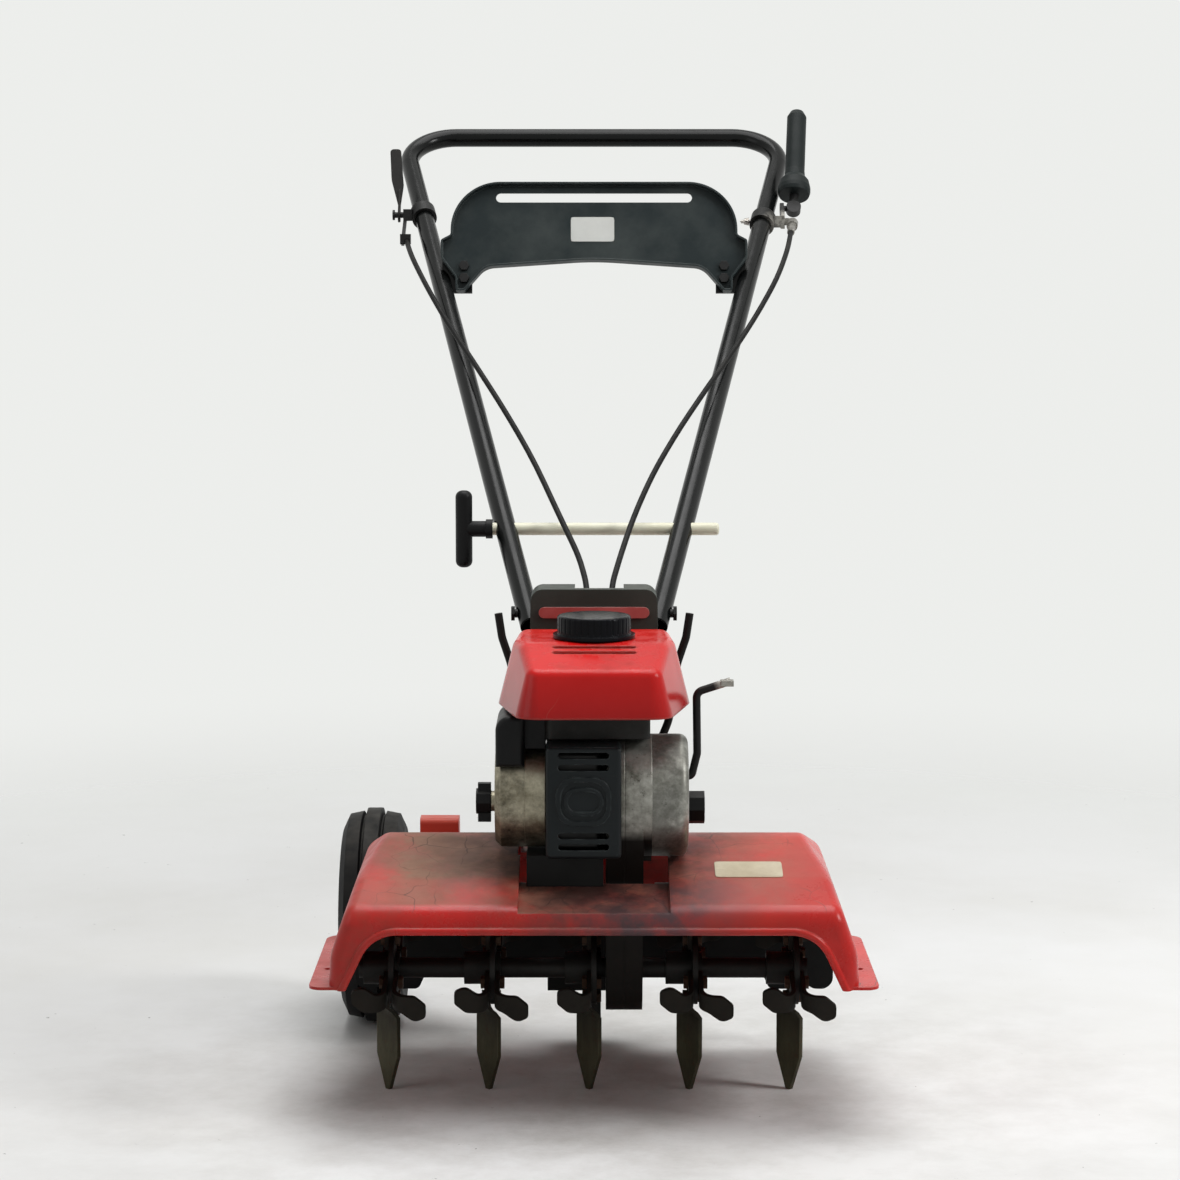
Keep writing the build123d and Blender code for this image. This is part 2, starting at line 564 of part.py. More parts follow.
def make_chain_case():
    """Two bolted halves that hang from the engine and carry the rotor."""
    outline = belt(CASE_LOW_R, DRUM_R)
    cavity = belt(CASE_LOW_R - CASE_WALL, DRUM_R - CASE_WALL)
    seat_r = BEARING_R + CASE_WALL
    seat_l = BEARING_W + CASE_WALL / 2
    left = along_x(outline, CASE_LEFT, CASE_X) - along_x(cavity, CASE_LEFT + CASE_WALL, CASE_X)
    left += bar_x(seat_r, CASE_LEFT, CASE_LEFT + seat_l, 0, ROTOR_Z)
    left -= bar_x(BEARING_R, CASE_LEFT + CASE_WALL / 2, CASE_LEFT + seat_l, 0, ROTOR_Z)
    left -= bar_x(SHAFT_R + PASS_GAP, CASE_LEFT, CASE_LEFT + seat_l, 0, ROTOR_Z)
    left -= bar_x(CRANK_R + PASS_GAP, CASE_LEFT, CASE_X, CRANK_Y, CRANK_Z)
    right = along_x(outline, CASE_X, CASE_RIGHT) - along_x(cavity, CASE_X, CASE_RIGHT - CASE_WALL)
    right += bar_x(seat_r, CASE_RIGHT - seat_l, CASE_RIGHT, 0, ROTOR_Z)
    right -= bar_x(BEARING_R, CASE_RIGHT - seat_l, CASE_RIGHT - CASE_WALL / 2, 0, ROTOR_Z)
    right -= bar_x(SHAFT_R + PASS_GAP, CASE_RIGHT - seat_l, CASE_RIGHT, 0, ROTOR_Z)
    right += bar_x(DRUM_R, CASE_RIGHT, DRUM_SEAM, CRANK_Y, CRANK_Z)
    right -= bar_x(DRUM_R - DRUM_WALL, CASE_X, DRUM_SEAM, CRANK_Y, CRANK_Z)
    drain_z = CRANK_Z - DRUM_R
    right += block(CASE_RIGHT, DRUM_SEAM, CRANK_Y - 9, CRANK_Y + 9, drain_z - BOLT_HEAD_H,
                   drain_z + DRUM_WALL / 2)
    nodes["chain_case_left"] = left
    nodes["chain_case_right"] = right
    ring = Circle(BEARING_R - RUN_FIT) - Circle(SHAFT_R + RUN_FIT)
    inset = CASE_WALL / 2
    nodes["rotor_bearings"] = group([
        Pos(0, 0, ROTOR_Z) * along_x(ring, CASE_LEFT + inset, CASE_LEFT + inset + BEARING_W),
        Pos(0, 0, ROTOR_Z) * along_x(ring, CASE_RIGHT - inset - BEARING_W, CASE_RIGHT - inset)])


# Engine
def make_crank():
    web = Circle(WEB_R) - Circle(CRANK_R)
    middle = (CRANKCASE_LEFT + CASE_LEFT) / 2
    web_t = CRANK_R
    gap = CRANK_R * 0.9
    shaft = bar_x(CRANK_R, BLOWER_SEAM - FLYWHEEL_T, middle - gap, 0, 0)
    shaft += bar_x(CRANK_R, middle + gap, DRUM_END - 2 * DRUM_WALL, 0, 0)
    shaft += along_x(web, middle - gap - web_t, middle - gap)
    shaft += along_x(web, middle + gap, middle + gap + web_t)
    shaft += bar_x(CRANK_R - 1, middle - gap - web_t, middle + gap + web_t, 0, CRANK_THROW)
    nodes["crankshaft"] = Pos(0, CRANK_Y, CRANK_Z) * shaft

    left = BLOWER_SEAM + BLOWER_WALL / 2
    disc = Circle(FLYWHEEL_R) - Circle(CRANK_R + RUN_FIT)
    wheel = along_x(disc, left, left + FLYWHEEL_T)
    fan_in = FLYWHEEL_R * 0.6
    fan = block(left - FLYWHEEL_T, left, -BLOWER_WALL / 2, BLOWER_WALL / 2, fan_in, FLYWHEEL_R - 1)
    wheel += [Rot(360 * i / FAN_BLADES, 0, 0) * fan for i in range(FAN_BLADES)]
    nodes["flywheel"] = Pos(0, CRANK_Y, CRANK_Z) * wheel


def make_crankcase():
    right = CASE_LEFT
    wall = CRANKCASE_WALL
    body = block(CRANKCASE_LEFT, right, CRANKCASE_FRONT, CRANKCASE_REAR, DECK_TOP, SEAT_Z)
    body = fillet(body.edges().filter_by(Axis.X), 2 * wall)
    body -= block(CRANKCASE_LEFT + wall, right - wall, CRANKCASE_FRONT + wall, CRANKCASE_REAR - wall,
                  DECK_TOP + wall, SEAT_Z - wall)
    bore_y = CRANK_Y + WEB_R / 2
    middle = (CRANKCASE_LEFT + right) / 2
    body -= bar_x(CRANK_R + RUN_FIT, CRANKCASE_LEFT, right, CRANK_Y, CRANK_Z)
    body -= bar_z(WEB_R * 0.7, SEAT_Z - wall, SEAT_Z, middle, bore_y)
    nodes["crankcase"] = body

    half_x = (right - CRANKCASE_LEFT) / 2 - 4
    half_y = half_x + 4
    barrel = block(middle - half_x * 0.7, middle + half_x * 0.7, bore_y - half_y * 0.7,
                   bore_y + half_y * 0.7, SEAT_Z, FIN_TOP)
    fin = block(middle - half_x, middle + half_x, bore_y - half_y, bore_y + half_y, 0, FIN_T)
    barrel += [Pos(0, 0, SEAT_Z + 4 + i * FIN_PITCH) * fin for i in range(FIN_COUNT)]
    barrel += block(middle - half_x, middle + half_x, bore_y - half_y, bore_y + half_y, FIN_TOP, HEAD_TOP)
    baffle = block(CRANKCASE_LEFT, BAFFLE_RIGHT, BAFFLE_FRONT, bore_y + half_y,
                   CRANK_Z + DRUM_R + BAFFLE_GAP, HOOD_Z - SHROUD_GAP)
    barrel += fillet(baffle.edges().filter_by(Axis.Z), 8)
    barrel -= bar_z(WEB_R * 0.7, SEAT_Z, FIN_TOP, middle, bore_y)
    nodes["cylinder"] = barrel

    plug_z = FIN_TOP + HEAD_H / 2 - 2
    front = bore_y - half_y
    plug = bar_y(6, front - 14, front, middle, plug_z) + bar_y(9, front - 6, front - 2, middle, plug_z)
    plug += bar_y(8, front - 34, front - 14, middle, plug_z)
    nodes["spark_plug"] = plug

    back = bore_y + half_y
    carb_z = SEAT_Z + 4 + 3 * FIN_PITCH
    carb = bar_y(13, back, back + 30, middle, carb_z)
    carb += bar_z(11, carb_z - 20, carb_z - 3, middle, back + 15)
    nodes["carburettor"] = carb
    cleaner = block(CRANKCASE_LEFT - 8, right + 13, back + 30, GUARD_BAR_Y - 10, SEAT_Z - 6, HOOD_Z - 4)
    nodes["air_cleaner"] = fillet(cleaner.edges(), 6)


def make_muffler():
    low = CRANK_Z - GUARD_BELOW
    high = CRANK_Z + GUARD_ABOVE
    front, left, right = GUARD_FRONT, GUARD_LEFT, GUARD_RIGHT
    gap = MUFFLER_GAP
    rear = CRANKCASE_FRONT
    can = block(left + gap, CASE_LEFT - gap, front + gap + GUARD_SHEET, rear - gap, low + gap, high - gap)
    can = fillet(can.edges(), 6)
    pipe_x = (CRANKCASE_LEFT + CASE_LEFT) / 2
    can += bar_y(12, rear - gap - 4, rear, pipe_x, CRANK_Z + CRANKCASE_RISE / 2)
    nodes["muffler"] = can

    sheet = GUARD_SHEET
    shell = block(left, right, front, rear, low, high)
    shell = fillet(shell.edges().filter_by(Axis.Y) + shell.faces().sort_by(Axis.Y)[0].edges(), 5)
    shell -= block(left + sheet, right - sheet, front + sheet, rear, low + sheet, high - sheet)
    middle = (left + right) / 2
    for z in (high - 9, high - 22, low + 13, low + 25):
        slot = SlotOverall(GUARD_SLOT_W, GUARD_SLOT_H)
        shell -= Pos(middle, front + 2 * sheet, z) * Rot(90, 0, 0) * extrude(slot, amount=4 * sheet)
    boss_w, boss_h = GUARD_BOSS
    dish_w, dish_h = GUARD_DISH
    boss = RectangleRounded(boss_w, boss_h, boss_h * 0.38)
    boss -= RectangleRounded(boss_w - 10, boss_h - 10, (boss_h - 10) * 0.38)
    boss += RectangleRounded(dish_w, dish_h, dish_h * 0.49)
    boss -= RectangleRounded(dish_w - 8, dish_h - 8, (dish_h - 8) * 0.49)
    boss_z = CRANK_Z + GUARD_BOSS_RISE
    shell += Pos(middle, front, boss_z) * Rot(90, 0, 0) * extrude(boss, amount=GUARD_BOSS_T)
    shell -= along_x(belt(CASE_LOW_R + FREE_GAP, DRUM_R + FREE_GAP), CASE_LEFT - FREE_GAP, right)
    nodes["muffler_guard"] = shell


def make_blower():
    r, wall = BLOWER_R, BLOWER_WALL
    ring = bar_x(r, BLOWER_SEAM, CRANKCASE_LEFT, CRANK_Y, CRANK_Z)
    ring -= bar_x(r - wall, BLOWER_SEAM, CRANKCASE_LEFT - wall, CRANK_Y, CRANK_Z)
    ring -= bar_x(CRANK_R + PASS_GAP, BLOWER_SEAM, CRANKCASE_LEFT, CRANK_Y, CRANK_Z)
    nodes["blower_housing"] = ring
    cup = bar_x(r, BLOWER_END, BLOWER_SEAM, CRANK_Y, CRANK_Z)
    cup = chamfer(cup.faces().sort_by(Axis.X)[0].edges(), 6)
    cup -= bar_x(r - wall, BLOWER_END + 2 * wall, BLOWER_SEAM, CRANK_Y, CRANK_Z)
    switch_z = CRANK_Z - SWITCH_DROP
    cup += bar_x(SWITCH_R - 3, BLOWER_END - 5, BLOWER_END + wall, CRANK_Y, switch_z)
    pin_bore = BOLT_R + RUN_FIT
    cup -= bar_x(pin_bore, BLOWER_END - 5, BLOWER_END + wall, CRANK_Y, switch_z)
    nodes["recoil_cover"] = cup
    knob_right = BLOWER_END - 5 - FREE_GAP
    knob_left = knob_right - 16
    knob = along_x(RegularPolygon(SWITCH_R, 8), knob_left, knob_right)
    knob += block(knob_left + 2, knob_right, -5, 5, -22, 20)
    knob += bar_x(BOLT_R, knob_right, BLOWER_END + wall, 0, 0)
    nodes["stop_switch"] = Pos(0, CRANK_Y, switch_z) * knob

    top = HOOD_Z - SHROUD_GAP
    left = BLOWER_END + 1
    side = rounded_face([(left, CRANK_Z + 38, 0), (left, top, 16), (BLOWER_SEAM, top, 0),
                         (BLOWER_SEAM, CRANK_Z + 38, 0)])
    shroud = along_y(side, CRANK_Y - 50, CRANK_Y + 42)
    shroud = fillet(shroud.faces().sort_by(Axis.Y)[0].edges(), 6)
    shroud += block(BLOWER_SEAM, CRANKCASE_LEFT, CRANK_Y - 34, CRANK_Y + 30, CRANK_Z + BLOWER_R, top)
    shroud -= bar_x(BLOWER_R + FREE_GAP, BLOWER_END - 3, CRANKCASE_LEFT, CRANK_Y, CRANK_Z)
    nodes["cooling_shroud"] = shroud


def make_drum_cover():
    cup = bar_x(DRUM_R, DRUM_SEAM, DRUM_END, CRANK_Y, CRANK_Z)
    cup = fillet(cup.faces().sort_by(Axis.X)[-1].edges(), DRUM_ROUND)
    cup -= bar_x(DRUM_R - DRUM_WALL, DRUM_SEAM, DRUM_END - DRUM_WALL, CRANK_Y, CRANK_Z)
    cup -= bar_x(OIL_NECK_R + RUN_FIT, DRUM_END - DRUM_WALL, DRUM_END, OIL_CAP_Y, OIL_CAP_Z)
    cup -= bar_x(LEVER_R + RUN_FIT, DRUM_END - DRUM_WALL, DRUM_END, LEVER_Y, LEVER_Z)
    nodes["drum_cover"] = cup
    head_in = DRUM_END + FREE_GAP
    cap = along_x(RegularPolygon(OIL_CAP_R, 8), head_in, head_in + 19)
    cap += bar_x(OIL_NECK_R, DRUM_END - DRUM_WALL - 3, head_in, 0, 0)
    nodes["oil_cap"] = Pos(0, OIL_CAP_Y, OIL_CAP_Z) * cap
    lever_x = DRUM_END + 10
    points = [(DRUM_END - DRUM_WALL - 2, LEVER_Y, LEVER_Z), (lever_x - 5, LEVER_Y, LEVER_Z),
              (lever_x + 1, LEVER_Y, LEVER_Z + 25), (lever_x, LEVER_Y, LEVER_Z + 92),
              (lever_x + 37, LEVER_Y, LEVER_Z + 104)]
    lever = bent_rod(points, [5, 12, 9], LEVER_R)
    tip_x = lever_x + 26
    lever += block(tip_x, tip_x + 14, LEVER_Y - 7, LEVER_Y + 7, LEVER_Z + 99, LEVER_Z + 105)
    nodes["shift_lever"] = lever


# Frame, fender and what hangs from them
def make_frame():
    t = DECK_T
    plan = rounded_face([(-DECK_HALF, DECK_FRONT, 4), (CASE_LEFT - PASS_GAP, DECK_FRONT, 4),
                         (CASE_LEFT - PASS_GAP, MAST_FRONT - 34, 6), (DECK_HALF, MAST_FRONT - 34, 4),
                         (DECK_HALF, DECK_REAR, 0), (-DECK_HALF, DECK_REAR, 0)])
    frame = along_z(plan, DECK_UNDER, DECK_TOP)
    ramp = (RECESS_Z - RECESS_FRONT_Z) / (RECESS_RAMP_END - FENDER_FRONT)
    foot_front = RECESS_FRONT_Z + ramp * (DECK_FRONT - FENDER_FRONT)
    foot_rear = foot_front + ramp * t
    leg = along_x(rounded_face([(DECK_FRONT, foot_front, 0), (DECK_FRONT + t, foot_rear, 0),
                                (DECK_FRONT + t, DECK_UNDER, 0), (DECK_FRONT, DECK_UNDER, 0)]),
                  -DECK_HALF, CASE_LEFT - PASS_GAP)
    frame += leg
    frame += block(-DECK_HALF, DECK_HALF, DECK_REAR - t, DECK_REAR, RECESS_Z, DECK_UNDER)
    frame += block(-DECK_HALF, DECK_HALF, DECK_REAR - t, HITCH_BACK, RECESS_Z, RECESS_Z + t)
    frame += block(-DECK_HALF, DECK_HALF, HITCH_FACE, HITCH_BACK, HITCH_LOW, RECESS_Z + t)
    frame += block(-SOCKET_HALF, SOCKET_HALF, HITCH_BACK, SOCKET_BACK, SOCKET_LOW, SOCKET_HIGH)
    frame += block(-SOCKET_HALF, SOCKET_HALF, HITCH_FACE, HITCH_BACK, SOCKET_LOW, SOCKET_HIGH)
    frame -= block(-STAKE_W / 2 - FREE_GAP, STAKE_W / 2 + FREE_GAP, STAKE_Y - STAKE_D / 2 - FREE_GAP,
                   STAKE_Y + STAKE_D / 2 + FREE_GAP, SOCKET_LOW, SOCKET_HIGH)
    tube = bar_x(CROSS_TUBE_R, CROSS_TUBE_END, -STAKE_W, CROSS_TUBE_Y, CROSS_TUBE_Z)
    gusset = block(-DECK_HALF, -DECK_HALF + 2 * t, HITCH_BACK, CROSS_TUBE_Y, CROSS_TUBE_Z - CROSS_TUBE_R,
                   CROSS_TUBE_Z + CROSS_TUBE_R)
    frame += tube + gusset + Pos(DECK_HALF - STAKE_W - 2 * t, 0, 0) * gusset
    nodes["engine_frame"] = frame

    foot = STAKE_POINT
    bar = block(-STAKE_W / 2, STAKE_W / 2, STAKE_Y - STAKE_D / 2, STAKE_Y + STAKE_D / 2, foot, STAKE_TOP)
    point = along_x(rounded_face([(STAKE_Y - STAKE_D / 2, foot, 0), (STAKE_Y + STAKE_D / 2, foot, 0),
                                  (STAKE_Y + STAKE_D / 2, 0, 0), (STAKE_Y + STAKE_D / 6, 0, 0)]),
                    -STAKE_W / 2, STAKE_W / 2)
    nodes["drag_stake"] = bar + point


def fender_body(inset):
    """Fender's skin as a solid, drawn in by the inset."""
    rear, front, side = FENDER_REAR - inset, FENDER_FRONT + inset, FENDER_SIDE - inset
    crown = CROWN_Z - inset
    low = EAR_Z - 20
    side_view = rounded_face([
        (front, low, 0), (front, LIP_Z + 20 - inset, 24), (front + 67, crown - 23, 60),
        (CROWN_FRONT, crown, 90), (CROWN_REAR, crown, 60), (rear - 22, crown - 43, 40),
        (rear, crown - 78, 26), (rear, low, 0)])
    half = [(side, low, 0), (side - 3, crown - 92, 60), (side - 26, crown - 26, 45),
            (side - 68, crown + 20, 30)]
    front_view = rounded_face(half + [(-x, z, r) for x, z, r in reversed(half)])
    body = along_x(side_view, -FENDER_SIDE - 1, FENDER_SIDE + 1)
    body &= along_y(front_view, FENDER_FRONT - 1, FENDER_REAR + 1)
    ridges = [e for e in body.edges() - body.edges().filter_by(Axis.X) if e.center().Z > low + 1]
    creases = [e for e in body.edges().filter_by(Axis.Y) if e.center().Z < crown - 1]
    body = fillet([e for e in ridges if e not in creases], FENDER_EDGE_R - inset)
    ramp = RECESS_RAMP_END
    channel = rounded_face([
        (2 * FENDER_FRONT - ramp, 2 * RECESS_FRONT_Z - RECESS_Z - inset, 0), (ramp, RECESS_Z - inset, 0),
        (FENDER_REAR + 1, RECESS_Z - inset, 0), (FENDER_REAR + 1, CROWN_Z + 9, 0),
        (2 * FENDER_FRONT - ramp, CROWN_Z + 9, 0)])
    return body - along_x(channel, -RECESS_HALF - inset, RECESS_HALF + inset)


def make_fender():
    shell = fender_body(0) - fender_body(FENDER_SHEET)
    shell -= block(-EAR_HALF, EAR_HALF, FENDER_FRONT - 1, FENDER_REAR + 1, 0, EAR_Z)
    reach = LIP_FOOT_X + (LIP_FOOT_X - LIP_CORNER_X) * 20 / (LIP_Z - EAR_Z)
    arch = rounded_face([(-reach, EAR_Z - 20, 0), (-LIP_CORNER_X, LIP_Z, LIP_BEND),
                         (LIP_CORNER_X, LIP_Z, LIP_BEND), (reach, EAR_Z - 20, 0)])
    shell -= along_y(arch, FENDER_FRONT - 1, FENDER_FRONT + 36)
    bead_path = FilletPolyline((-reach, EAR_Z - 20), (-LIP_CORNER_X, LIP_Z), (LIP_CORNER_X, LIP_Z),
                               (reach, EAR_Z - 20), radius=LIP_BEND)
    bead_path = Pos(0, FENDER_FRONT + BEAD_SINK, 0) * Rot(90, 0, 0) * bead_path
    bead = sweep(Plane(origin=bead_path @ 0, z_dir=bead_path % 0) * Circle(BEAD_R), path=bead_path)
    shell += bead - block(-EAR_HALF, EAR_HALF, FENDER_FRONT - 9, FENDER_FRONT + 9, 0, EAR_Z)
    ear = along_z(rounded_face([
        (LIP_FOOT_X - 2, FENDER_FRONT + 2, 0), (EAR_HALF, FENDER_FRONT + 2, 14),
        (EAR_HALF, EAR_REAR, 20), (FENDER_SIDE - FENDER_SHEET, EAR_REAR, 0),
        (FENDER_SIDE - FENDER_SHEET, FENDER_FRONT + 36, 0), (LIP_FOOT_X - 2, FENDER_FRONT + 14, 0)]),
        EAR_Z, EAR_Z + EAR_T)
    ear -= bar_z(EAR_HOLE_R, EAR_Z, EAR_Z + EAR_T, EAR_HOLE_X, EAR_HOLE_Y)
    shell = shell + ear + mirror(ear, Plane.YZ)
    shell -= bar_x(SWEEP_R, -RECESS_HALF - FENDER_SHEET, RECESS_HALF + FENDER_SHEET, 0, ROTOR_Z)
    shell -= along_x(belt(CASE_LOW_R + PASS_GAP, DRUM_R + PASS_GAP), CASE_LEFT - PASS_GAP,
                     DRUM_SEAM + PASS_GAP)
    nodes["fender"] = shell

    edge = FENDER_SIDE - FLAP_EDGE
    half = [(edge, FLAP_TOP, 8), (edge, FLAP_LOBE_Z, 14), (edge - 32, FLAP_LOBE_Z, 14),
            (edge - 34, FLAP_Z + 12, 0), (edge - 42, FLAP_Z + 12, 0), (edge - 45, FLAP_LOBE_Z, 6),
            (edge - 74, FLAP_LOBE_Z, 8), (edge - 88, FLAP_Z, 6)]
    flap = rounded_face(half + [(-x, z, r) for x, z, r in reversed(half)])
    nodes["rear_flap"] = along_y(flap, FENDER_REAR, HITCH_FACE)


# Hood, tank and filler cap
def hood_body(inset):
    """Hood's skin as a solid, drawn in by the inset: leaning walls under a sloping crown."""
    front, rear, half = HOOD_FRONT + inset, HOOD_REAR - inset, HOOD_HALF - inset
    low, ridge, crown = HOOD_Z - inset, HOOD_Z + HOOD_RIDGE - inset, HOOD_TOP - inset
    side = [(HOOD_FRONT_HALF - inset, front, 26 - inset), (half, HOOD_WIDEST, 80),
            (half - 6, rear, 30 - inset)]
    plan = rounded_face(side + [(-x, y, r) for x, y, r in reversed(side)])
    body = Pos(0, 0, low) * extrude(plan, amount=HOOD_H + inset + 10, taper=HOOD_TAPER)
    slope = (crown - ridge) / (HOOD_SLOPE_END - front)
    side_view = rounded_face([(front - 20, low - 1, 0), (front - 20, ridge - 20 * slope, 0),
                              (HOOD_SLOPE_END, crown, 70), (rear + 1, crown, 0), (rear + 1, low - 1, 0)])
    body &= along_x(side_view, -HOOD_HALF - 1, HOOD_HALF + 1)
    tops = [f for f in body.faces() if f.normal_at().Z > 0.6]
    rim = [e for f in tops for e in f.edges() if sum(e in g.edges() for g in tops) == 1]
    return fillet(rim, HOOD_EDGE_R - inset)


def make_hood():
    body = hood_body(0) - hood_body(HOOD_SHEET)
    neck_hole = NECK_R + PASS_GAP
    body -= bar_z(neck_hole, HOOD_Z, HOOD_TOP + 1, 0, CAP_Y)
    louvre = SlotOverall(LOUVRE_W, LOUVRE_H)
    for i in range(2):
        y = CAP_Y - CAP_BASE_R - LOUVRE_GAP - i * LOUVRE_STEP
        body -= Pos(0, y, HOOD_TOP - HOOD_H / 3) * extrude(louvre, amount=HOOD_H / 2)
    nodes["hood"] = body

    top = HOOD_TOP - HOOD_SHEET
    tank = fillet(block(-TANK_HALF, TANK_HALF, TANK_FRONT, TANK_REAR, HEAD_TOP, top).edges()
                  .filter_by(Axis.Z), 18)
    sheet = TANK_SHEET
    tank += bar_z(NECK_R, top, HOOD_TOP + 9, 0, CAP_Y)
    tank -= fillet(block(-TANK_HALF + sheet, TANK_HALF - sheet, TANK_FRONT + sheet, TANK_REAR - sheet,
                         HEAD_TOP + sheet, top - sheet).edges().filter_by(Axis.Z), 18 - sheet)
    tank -= bar_z(NECK_R - sheet, top - sheet, HOOD_TOP + 9, 0, CAP_Y)
    nodes["fuel_tank"] = tank

    base = HOOD_TOP + 1.0
    cap = bar_z(CAP_BASE_R, base, base + 4, 0, CAP_Y) + bar_z(CAP_R, base, base + CAP_H, 0, CAP_Y)
    cap = fillet(cap.faces().sort_by(Axis.Z)[-1].edges(), 3)
    grooves = [Pos(0, CAP_Y, 0) * Rot(0, 0, 360 * i / 36) * bar_z(1.4, base + 6, base + CAP_H, CAP_R + 0.6, 0)
               for i in range(36)]
    cap -= grooves
    cap -= bar_z(NECK_R + FREE_GAP, base, HOOD_TOP + 9 + FREE_GAP, 0, CAP_Y)
    nodes["fuel_cap"] = cap


# Column
def make_column():
    pivot_x, pivot_y, pivot_z = LEG_FOOT
    ear_out = pivot_x - TUBE_R - 6
    top = pivot_z + 12
    column_top = pivot_z - 8
    mast = block(-MAST_HALF, MAST_HALF, MAST_FRONT, MAST_REAR, DECK_TOP, column_top)
    mast -= block(-MAST_HALF + MAST_WALL, MAST_HALF - MAST_WALL, MAST_FRONT + MAST_WALL,
                  MAST_REAR - MAST_WALL, DECK_TOP, column_top)
    mast += block(-ear_out, ear_out, MAST_REAR, MAST_REAR + EAR_PLATE, pivot_z - 50, column_top)
    ear = along_x(rounded_face([(MAST_REAR, pivot_z - 50, 0), (MAST_REAR + 22, pivot_z - 50, 8),
                                (pivot_y + 14, pivot_z - 14, 10), (pivot_y + 14, top, 10),
                                (MAST_REAR, top, 0)]), ear_out - EAR_PLATE, ear_out)
    mast += both_sides(ear)
    mast -= bar_x(PIVOT_R + RUN_FIT, -ear_out, ear_out, pivot_y, pivot_z)
    foot = block(-MAST_HALF - 14, MAST_HALF + 14, MAST_FRONT - 18, MAST_REAR, DECK_TOP, DECK_TOP + 5)
    foot -= block(-MAST_HALF + MAST_WALL, MAST_HALF - MAST_WALL, MAST_FRONT + MAST_WALL,
                  MAST_REAR - MAST_WALL, DECK_TOP, DECK_TOP + 5)
    nodes["mast"] = mast + foot

    bolt_in = pivot_x + TUBE_R + PIVOT_GAP
    bolt = bar_x(PIVOT_R, -bolt_in - 2, bolt_in + 2, pivot_y, pivot_z)
    for x0, x1 in ((-bolt_in - 4, -bolt_in), (bolt_in, bolt_in + 4)):
        bolt += Pos(0, pivot_y, pivot_z) * along_x(RegularPolygon(9, 6), x0, x1)
    nodes["pivot_bolt"] = bolt

    outer = along_y(rounded_face([(-COVER_HALF - 2, COVER_LOW, 0), (-COVER_HALF, COVER_TOP, 14),
                                  (COVER_HALF, COVER_TOP, 14), (COVER_HALF + 2, COVER_LOW, 0)]),
                    COVER_FRONT, COVER_REAR)
    sheet = COVER_SHEET
    inner = along_y(rounded_face([(-COVER_HALF - 2 + sheet, COVER_LOW - 1, 0),
                                  (-COVER_HALF + sheet, COVER_TOP - sheet, 14 - sheet),
                                  (COVER_HALF - sheet, COVER_TOP - sheet, 14 - sheet),
                                  (COVER_HALF + 2 - sheet, COVER_LOW - 1, 0)]),
                    COVER_FRONT + sheet, COVER_REAR)
    cover = outer - inner
    right_end = route_point(*CLUTCH_ROUTE[-1]).X
    left_end = route_point(*THROTTLE_ROUTE[-1]).X
    slot_x = (right_end + left_end) / 2
    slot_half = (right_end - left_end) / 2 + 4 * CABLE_R
    cover -= block(slot_x - slot_half, slot_x + slot_half, COVER_FRONT + 14, COVER_REAR,
                   COVER_TOP - 8, COVER_TOP + 1)
    cover += block(-COVER_HALF + 8, COVER_HALF - 8, COVER_FRONT + sheet, MAST_FRONT, COVER_LOW + 12,
                   COVER_LOW + 30)
    nodes["column_cover"] = cover
    strip = SlotOverall(2 * STRIP_HALF, STRIP_H)
    nodes["cover_strip"] = Pos(0, COVER_FRONT, STRIP_Z) * Rot(90, 0, 0) * extrude(strip, amount=3)

    bar_low = DECK_TOP + 5 + GUARD_BAR_R
    half = [(-x, GUARD_BAR_Y, pivot_z + rise) for x, rise in GUARD_BAR_BENDS]
    half.append((-GUARD_BAR_FOOT, GUARD_BAR_Y, bar_low))
    points = half + [(-x, y, z) for x, y, z in reversed(half)]
    nodes["guard_bar"] = bent_rod(points, [30, 60, 60, 24, 24, 60, 60, 30], GUARD_BAR_R)


# Handlebar
def leg_point(share, side):
    p = Vector(*LEG_FOOT) + LEG_RUN * share
    return Vector(side * p.X, p.Y, p.Z)


def leg_plane(share, side):
    return Plane(origin=leg_point(share, side), z_dir=(side * LEG_DIR.X, LEG_DIR.Y, LEG_DIR.Z))


def panel_plane():
    lean = radians(PANEL_LEAN)
    return Plane(origin=(0, PANEL_Y, PANEL_Z), x_dir=(1, 0, 0), z_dir=(0, -cos(lean), sin(lean)))


def panel_bolt_places():
    x = PANEL_FOOT_HALF - PANEL_BOLT_INSET
    return [(s * x, v) for s in (-1, 1) for v in PANEL_BOLT_V]


